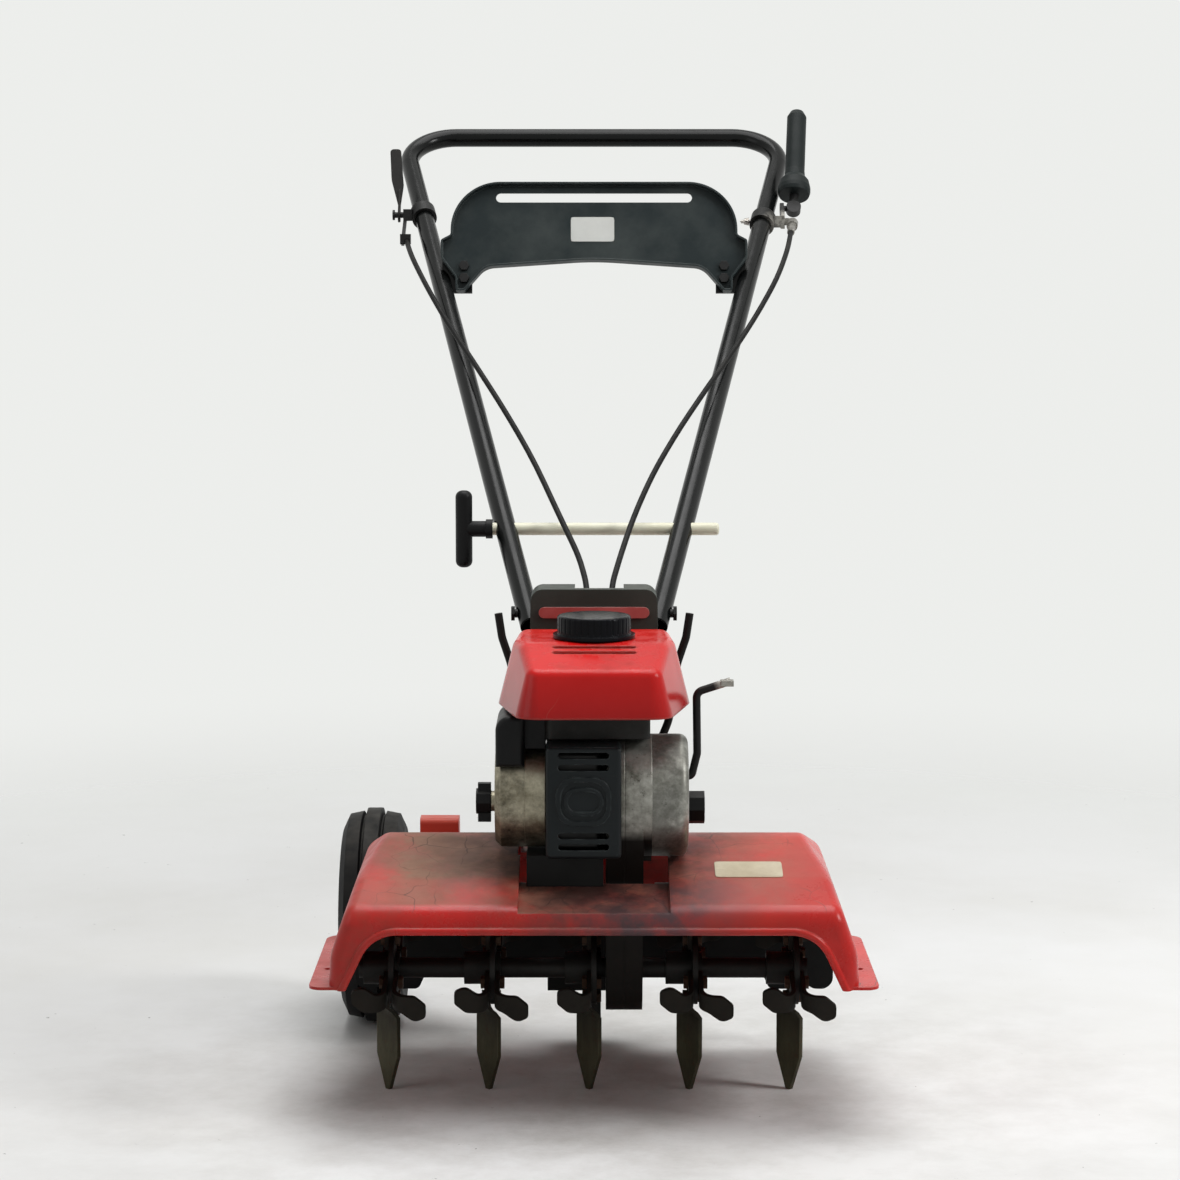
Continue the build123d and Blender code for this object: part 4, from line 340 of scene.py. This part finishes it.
def case_metal():
    """Chain case: stained alloy beside the engine, black below the deck as painted shade."""
    m = Maker("case_metal")
    m.round_edges(0.002)
    alloy = m.mix(m.ramp(m.noise(17.0, 10.0, 0.72), 0.40, 0.66), (0.40, 0.395, 0.36), (0.09, 0.085, 0.07))
    alloy = m.mix(m.ramp(m.noise(70.0, 8.0, 0.75), 0.60, 0.68, 0.0, 0.8), alloy, (0.03, 0.026, 0.02))
    # Painted shade: black and less metallic below the deck.
    low = m.ramp(m.along("Z"), *CASE_SHADE)
    colour = m.mix(low, alloy, m.mix(m.noise(30.0, 8.0), (0.005, 0.0045, 0.004), (0.014, 0.011, 0.009)))
    m.link(m.ramp(low, 0.0, 1.0, 0.8, 0.1), m.bsdf.inputs["Metallic"])
    m.bump(m.noise(300.0, 5.0), 0.15, 0.0006)
    return m.done(colour, m.ramp(m.noise(26.0), 0.3, 0.7, 0.36, 0.58), specular=0.12)


def blade_metal():
    """Blades: the picks rubbed to an olive brown with pale edges as wear and a painted highlight, the
    slashers black, and painted shade in black near the hub.
    """
    m = Maker("blade_metal")
    edges = m.round_edges(0.0015)
    across = m.math("ABSOLUTE", m.math("SUBTRACT", m.along("Y"), ROTOR_Y))
    down = m.math("ABSOLUTE", m.math("SUBTRACT", m.along("Z"), ROTOR_Z))
    slope = m.math("DIVIDE", across, m.math("ADD", down, 0.001))
    # Painted shade: the blades black near the hub, olive only further out.
    pick = m.times(m.ramp(slope, *PICK_SLOPE), m.ramp(down, *PICK_SHADE_REACH))
    dark_blade = m.mix(m.noise(40.0, 8.0), (0.010, 0.009, 0.008), (0.026, 0.022, 0.017))
    streaks = m.ramp(m.noise(30.0, 10.0, 0.7, (1.0, 1.0, 0.35)), 0.38, 0.68)
    brown = m.mix(streaks, (0.085, 0.078, 0.047), (0.032, 0.027, 0.015))
    brown = m.mix(m.ramp(m.noise(120.0, 6.0), 0.58, 0.70, 0.0, 0.6), brown, (0.075, 0.035, 0.016))
    # Pale edges: wear, and a painted highlight.
    brown = m.mix(m.times(edges, 0.5), brown, (0.19, 0.175, 0.12))
    m.link(m.ramp(pick, 0.0, 1.0, 0.0, 0.4), m.bsdf.inputs["Metallic"])
    m.bump(m.noise(160.0, 7.0, 0.7), 0.3, 0.0006)
    return m.done(m.mix(pick, dark_blade, brown), m.ramp(pick, 0.0, 1.0, 0.72, 0.46), specular=0.15)


LEVER_TIP = tuple(at(146, -30, 461))
CLAMP_PLACE = tuple(at(270, 872, 952))
fender_red = fender_paint()
hood_red = hood_paint()
arm_red = painted("arm_red", (0.72, 0.10, 0.065), (0.58, 0.06, 0.04), (0.20, 0.10, 0.07),
                  dust_share=0.3, rough=0.36, chips=0.5, edge=0.5, specular=0.3)
strip_red = painted("strip_red", (0.52, 0.15, 0.14), (0.38, 0.06, 0.055), (0.62, 0.42, 0.39),
                    dust_share=0.9, rough=0.42, chips=0.5, edge=0.7, wear_and_light=(0.6, 0.4, 0.37), specular=0.3)
black_gloss = painted("black_gloss", (0.0022, 0.0026, 0.0026), (0.0038, 0.0042, 0.0042),
                      (0.014, 0.014, 0.013), dust_share=0.10, rough=0.20, specular=0.16)
black_dull = painted("black_dull", (0.006, 0.006, 0.006), (0.010, 0.0095, 0.0085), (0.034, 0.027, 0.022),
                     dust_share=0.45, rough=0.50, chips=0.3, edge=0.45, wear_and_light=(0.07, 0.066, 0.062),
                     specular=0.13)
# Its pale edges are wear and a painted highlight.
guard_black = painted("guard_black", (0.007, 0.010, 0.011), (0.011, 0.014, 0.0155), (0.03, 0.03, 0.029),
                      dust_share=0.25, rough=0.36, chips=0.15, edge=0.9, wear_and_light=(0.10, 0.118, 0.118),
                      specular=0.16, radius=0.002)
lever_black = painted("lever_black", (0.006, 0.0065, 0.0065), (0.011, 0.011, 0.0105), (0.05, 0.047, 0.044),
                      dust_share=0.5, rough=0.42, chips=0.3, edge=0.7, wear_and_light=(0.20, 0.19, 0.18),
                      specular=0.16, bare=(LEVER_TIP, 0.02))
clutch_black = painted("clutch_black", (0.006, 0.0065, 0.0065), (0.010, 0.010, 0.0095), (0.03, 0.028, 0.026),
                       dust_share=0.3, rough=0.42, chips=0.3, edge=0.6, wear_and_light=(0.16, 0.155, 0.15),
                       specular=0.16, bare=(CLAMP_PLACE, 0.055))
ivory = painted("ivory", (0.92, 0.91, 0.74), (0.80, 0.78, 0.60), (0.40, 0.34, 0.24),
                dust_share=0.25, rough=0.36, coat=0.1, chips=0.4, specular=0.3)
label_white = painted("label_white", (0.74, 0.75, 0.72), (0.60, 0.61, 0.58), (0.40, 0.39, 0.36),
                      dust_share=0.2, rough=0.45, chips=0.25, edge=0.5, wear_and_light=(0.35, 0.35, 0.33),
                      specular=0.25)
plate_cream = painted("plate_cream", (0.70, 0.63, 0.47), (0.52, 0.45, 0.30), (0.30, 0.22, 0.15),
                      dust_share=0.6, rough=0.42, chips=0.6, edge=0.6, wear_and_light=(0.30, 0.24, 0.17), specular=0.3)
blower_alloy = bare_metal("blower_alloy", (0.40, 0.37, 0.28), (0.10, 0.085, 0.055), stain_share=0.85,
                          rough=0.40, metallic=0.8, grain=0.2, scale=14.0, grime=0.8)
drum_alloy = bare_metal("drum_alloy", (0.41, 0.41, 0.375), (0.12, 0.116, 0.097), stain_share=0.7,
                        rough=0.42, metallic=0.8, scale=24.0, grime=0.5)
dark_alloy = bare_metal("dark_alloy", (0.018, 0.0175, 0.016), (0.007, 0.0065, 0.006), stain_share=0.7,
                        rough=0.58, metallic=0.3, grain=0.25)
steel = bare_metal("steel", (0.34, 0.33, 0.31), (0.13, 0.10, 0.075), stain_share=0.5,
                   rough=0.40, grain=0.1, scale=40.0)
dark_steel = bare_metal("dark_steel", (0.014, 0.0135, 0.012), (0.006, 0.0055, 0.005), stain_share=0.6,
                        rough=0.55, metallic=0.3, grain=0.2, scale=30.0)
blackened = bare_metal("blackened", (0.008, 0.008, 0.008), (0.004, 0.004, 0.004), stain_share=0.6,
                       rough=0.45, metallic=0.2, scale=40.0)
rust = bare_metal("rust", (0.09, 0.05, 0.03), (0.035, 0.018, 0.010), stain_share=0.7,
                  rough=0.7, metallic=0.3, grain=0.5, scale=50.0)
plastic = moulded("plastic", (0.0035, 0.0036, 0.004), (0.008, 0.0083, 0.0085), rough=0.42, specular=0.15)
panel_plastic = moulded("panel_plastic", (0.017, 0.024, 0.0255), (0.075, 0.086, 0.083), rough=0.40,
                        grain=0.1, scale=420.0, dust=0.2, specular=0.16)
grip_rubber = moulded("grip_rubber", (0.006, 0.0095, 0.0095), (0.014, 0.018, 0.018), rough=0.50,
                      grain=0.2, scale=420.0, dust=0.1, specular=0.15)
cap_plastic = moulded("cap_plastic", (0.0014, 0.0018, 0.0035), (0.003, 0.0038, 0.007), rough=0.20,
                      grain=0.06, scale=420.0, dust=0.06, specular=0.10)
cover_plastic = moulded("cover_plastic", (0.036, 0.044, 0.038), (0.062, 0.072, 0.062), rough=0.45,
                        scale=420.0, dust=0.3, specular=0.16)
rubber = moulded("rubber", (0.0035, 0.0035, 0.0035), (0.008, 0.008, 0.0075), rough=0.50,
                 scale=300.0, dust=0.1, specular=0.13)
tyre_rubber = moulded("tyre_rubber", (0.005, 0.005, 0.0053), (0.014, 0.0135, 0.012), rough=0.62,
                      grain=0.35, scale=180.0, dust=0.35, specular=0.15)
case_alloy = case_metal()
blades = blade_metal()

finish = {
    "fender": fender_red, "hood": hood_red, "cover_strip": strip_red, "wheel_arm": arm_red,
    "chain_case_left": case_alloy, "chain_case_right": case_alloy,
    "engine_frame": black_dull, "guard_bar": black_dull, "mast": black_dull,
    "handlebar_tube": black_gloss, "muffler_guard": guard_black, "muffler": blackened,
    "throttle_bracket": blackened, "throttle_lever": black_dull, "shift_lever": lever_black,
    "drum_cover": drum_alloy, "blower_housing": blower_alloy, "recoil_cover": blower_alloy,
    "crankcase": dark_alloy, "cylinder": dark_alloy, "carburettor": dark_alloy,
    "tine_shaft": dark_steel, "tine_hubs": dark_steel, "tine_bolts": rust, "drag_stake": dark_steel,
    "rotor_sprocket": steel, "rotor_bearings": steel, "drive_chain": steel, "crankshaft": steel,
    "clutch_drum": steel, "clutch_shoes": dark_steel, "flywheel": dark_alloy, "spark_plug": steel,
    "pivot_bolt": blackened, "panel_bolts": blackened, "axle_bolt": steel, "wheel_rim": dark_steel,
    "clutch_bracket": clutch_black, "clutch_lever": blackened, "clutch_grip": grip_rubber,
    "rear_flap": rubber, "throttle_cable": rubber, "clutch_cable": rubber, "tyre": tyre_rubber,
    "cooling_shroud": plastic, "column_cover": cover_plastic, "console_panel": panel_plastic,
    "fuel_cap": cap_plastic, "oil_cap": plastic, "stop_switch": plastic, "t_handle": plastic,
    "air_cleaner": plastic, "fuel_tank": plastic, "tie_rod": ivory}
for i in range(1, 6):
    finish[f"tine_blades_{i}"] = blades
for name, node in nodes.items():
    node.data.materials.clear()
    node.data.materials.append(finish[name])


# Pieces that are too small or too thin for the solids, in millimetres
PANEL_LEAN = math.radians(17)
PANEL_FOOT = (772.0, 866.0)         # Y and Z of the panel's lower edge
PANEL_SHEET = 2.5
LABEL_U = (-31.0, 27.0)             # across the panel
LABEL_V = (70.0, 104.0)             # up the panel from its lower edge
LABEL_T = 0.4
PLATE_X = (129.5, 202.0)
PLATE_Y = (-103.0, -62.0)
PLATE_T = 0.6
SHEET_COLUMNS = 14
SHEET_ROWS = 8
SHEET_SINK = 0.1                    # a sheet's back, below the surface that carries it
SHEET_CORNER = 0.8                  # how far a corner is drawn in
NUT_PLACE = (214.5, 907.2, 961.0)   # inner side of the right lever's clamp
NUT_TURNED = ((2.5, 2.5, -2.0, 13.0), (5.5, 4.0, 2.0, 9.0))   # stud and nut: end radii, start, end
WING_HALF = (4.0, 8.0, 1.6)
WING_ALONG = 8.5
WING_OUT = 7.5
WING_LEAN = 32.0


def on_panel(u, v, rise):
    """Point on the panel's face: across, up, and out of it."""
    out = PANEL_SHEET + rise
    y = PANEL_FOOT[0] + v * math.sin(PANEL_LEAN) - out * math.cos(PANEL_LEAN)
    z = PANEL_FOOT[1] + v * math.cos(PANEL_LEAN) + out * math.sin(PANEL_LEAN)
    return at(u, y, z)


def on_fender(x, y, rise):
    """Point over the fender's skin, met from straight above the given place."""
    _, point, normal, _ = nodes["fender"].ray_cast(at(x, y, 400), Vector((0, 0, -1)))
    return point + normal * rise / 1000


def add_piece(name, mesh, material, body):
    """Object of a built mesh, which rides a body."""
    data = bpy.data.meshes.new(name)
    mesh.to_mesh(data)
    mesh.free()
    data.materials.append(material)
    piece = bpy.data.objects.new(name, data)
    bpy.context.collection.objects.link(piece)
    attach(piece, body)
    return piece


def laid_sheet(name, across, up, place, thick, material, body):
    """Thin closed sheet that follows a surface, with its four corners drawn in."""
    columns, rows = SHEET_COLUMNS, SHEET_ROWS
    wide = columns + 1
    mesh = bmesh.new()
    layers = []
    for rise in (thick, -SHEET_SINK):
        layer = []
        for j in range(rows + 1):
            for i in range(wide):
                u = across[0] + (across[1] - across[0]) * i / columns
                v = up[0] + (up[1] - up[0]) * j / rows
                if i in (0, columns) and j in (0, rows):
                    u += SHEET_CORNER if i == 0 else -SHEET_CORNER
                    v += SHEET_CORNER if j == 0 else -SHEET_CORNER
                layer.append(mesh.verts.new(place(u, v, rise)))
        layers.append(layer)
    front, back = layers
    for j in range(rows):
        for i in range(columns):
            k = j * wide + i
            corners = (k, k + 1, k + 1 + wide, k + wide)
            mesh.faces.new([front[c] for c in corners])
            mesh.faces.new([back[c] for c in reversed(corners)])
    edge = list(range(wide))
    edge += [j * wide + columns for j in range(1, rows + 1)]
    edge += [rows * wide + i for i in range(columns - 1, -1, -1)]
    edge += [j * wide for j in range(rows - 1, 0, -1)]
    for a, b in zip(edge, edge[1:] + edge[:1]):
        mesh.faces.new([back[a], back[b], front[b], front[a]])
    bmesh.ops.recalc_face_normals(mesh, faces=mesh.faces)
    add_piece(name, mesh, material, body)


def wing_nut(name, place, material, body):
    """Nut with two rounded wings on a short stud, pointing to the left."""
    mesh = bmesh.new()
    turn = Matrix.Rotation(math.radians(-90), 4, "Y")
    for r0, r1, start, end in NUT_TURNED:
        shift = Matrix.Translation((0, 0, (start + end) / 2))
        bmesh.ops.create_cone(mesh, cap_ends=True, segments=24, radius1=r0, radius2=r1, depth=end - start,
                              matrix=turn @ shift)
    for side in (-1, 1):
        shift = Matrix.Translation((-WING_ALONG, side * WING_OUT, 0))
        lean = Matrix.Rotation(math.radians(side * WING_LEAN), 4, "Z")
        flat = Matrix.Diagonal((*WING_HALF, 1.0))
        bmesh.ops.create_uvsphere(mesh, u_segments=20, v_segments=12, radius=1.0, matrix=shift @ lean @ flat)
    for vert in mesh.verts:
        vert.co = at(*(Vector(place) + vert.co))
    piece = add_piece(name, mesh, material, body)


laid_sheet("panel_label", LABEL_U, LABEL_V, on_panel, LABEL_T, label_white, "handlebar")
laid_sheet("fender_plate", PLATE_X, PLATE_Y, on_fender, PLATE_T, plate_cream, "chassis")
wing_nut("clamp_nut", NUT_PLACE, steel, "handlebar")


# Floor and light
FLOOR_END = 2.6     # metres from the middle to where the floor has faded out


def floor_material():
    """Pale floor with soft stains, a brown smudge under the machine that is dirt and a painted shadow, and
    specks, which fades out into the even background.
    """
    m = Maker("floor_pale")
    colour = m.mix(m.ramp(m.noise(1.6, 6.0, 0.6), 0.40, 0.72), (0.90, 0.90, 0.895), (0.82, 0.815, 0.79))
    # Brown smudge under the machine: dirt, and a painted shadow.
    wear_and_light = m.ramp(m.noise(5.0, 9.0, 0.72), 0.42, 0.68, 0.0, 0.55)
    smudge_and_shadow = m.times(m.near((0.0, -0.5, 0.0), 0.8), wear_and_light)
    colour = m.mix(smudge_and_shadow, colour, (0.34, 0.31, 0.27))
    specks = m.ramp(m.noise(60.0, 4.0, 0.6), 0.715, 0.74, 0.0, 0.7)
    colour = m.mix(specks, colour, (0.12, 0.11, 0.10))
    m.link(colour, m.bsdf.inputs["Base Color"])
    m.bsdf.inputs["Roughness"].default_value = 0.7
    m.bsdf.inputs["Specular IOR Level"].default_value = 0.15
    clear = m.add("ShaderNodeBsdfTransparent")
    share = m.add("ShaderNodeMixShader")
    fade = m.ramp(m.near((0.0, 0.0, 0.0), FLOOR_END), 0.0, 0.7)
    m.link(m.times(fade, fade), share.inputs["Fac"])
    m.link(clear.outputs[0], share.inputs[1])
    m.link(m.bsdf.outputs[0], share.inputs[2])
    m.link(share.outputs[0], m.tree.nodes["Material Output"].inputs["Surface"])
    return m.material


bpy.ops.mesh.primitive_plane_add(size=10, location=(0, 0, 0))
floor = bpy.context.object
floor.name = "floor"
floor.data.materials.append(floor_material())

# The background is pale for what is seen and mirrored, and weaker as light.
BACKGROUND = (0.845, 0.855, 0.835, 1)
WORLD_LIGHT = 0.2
world = bpy.data.worlds.new("world")
bpy.context.scene.world = world
world.use_nodes = True
tree = world.node_tree
back = tree.nodes["Background"]
back.inputs["Color"].default_value = BACKGROUND
path = tree.nodes.new("ShaderNodeLightPath")
seen = path.outputs["Is Camera Ray"]
for ray in ("Is Glossy Ray", "Is Transmission Ray"):
    either = tree.nodes.new("ShaderNodeMath")
    either.operation = "MAXIMUM"
    tree.links.new(seen, either.inputs[0])
    tree.links.new(path.outputs[ray], either.inputs[1])
    seen = either.outputs[0]
level = tree.nodes.new("ShaderNodeMapRange")
level.inputs["To Min"].default_value = WORLD_LIGHT
level.inputs["To Max"].default_value = 1.0
tree.links.new(seen, level.inputs["Value"])
tree.links.new(level.outputs["Result"], back.inputs["Strength"])

# Lamps: name, place, size in metres, power in watts
LAMPS = (("key", (2.8, -1.4, 2.4), (1.0, 1.0), 52),
         ("fill", (-2.6, -1.7, 1.9), (1.8, 1.8), 9),
         ("top", (0.2, 0.0, 3.3), (2.6, 2.2), 78))
AIM = Vector((0, -0.35, 0.4))
for name, place, size, power in LAMPS:
    data = bpy.data.lights.new(name, "AREA")
    data.shape = "RECTANGLE"
    data.size, data.size_y = size
    data.energy = power
    lamp = bpy.data.objects.new(name, data)
    bpy.context.collection.objects.link(lamp)
    lamp.location = place
    lamp.rotation_euler = (AIM - lamp.location).to_track_quat("-Z", "Y").to_euler()

bpy.context.scene.view_settings.view_transform = "Standard"
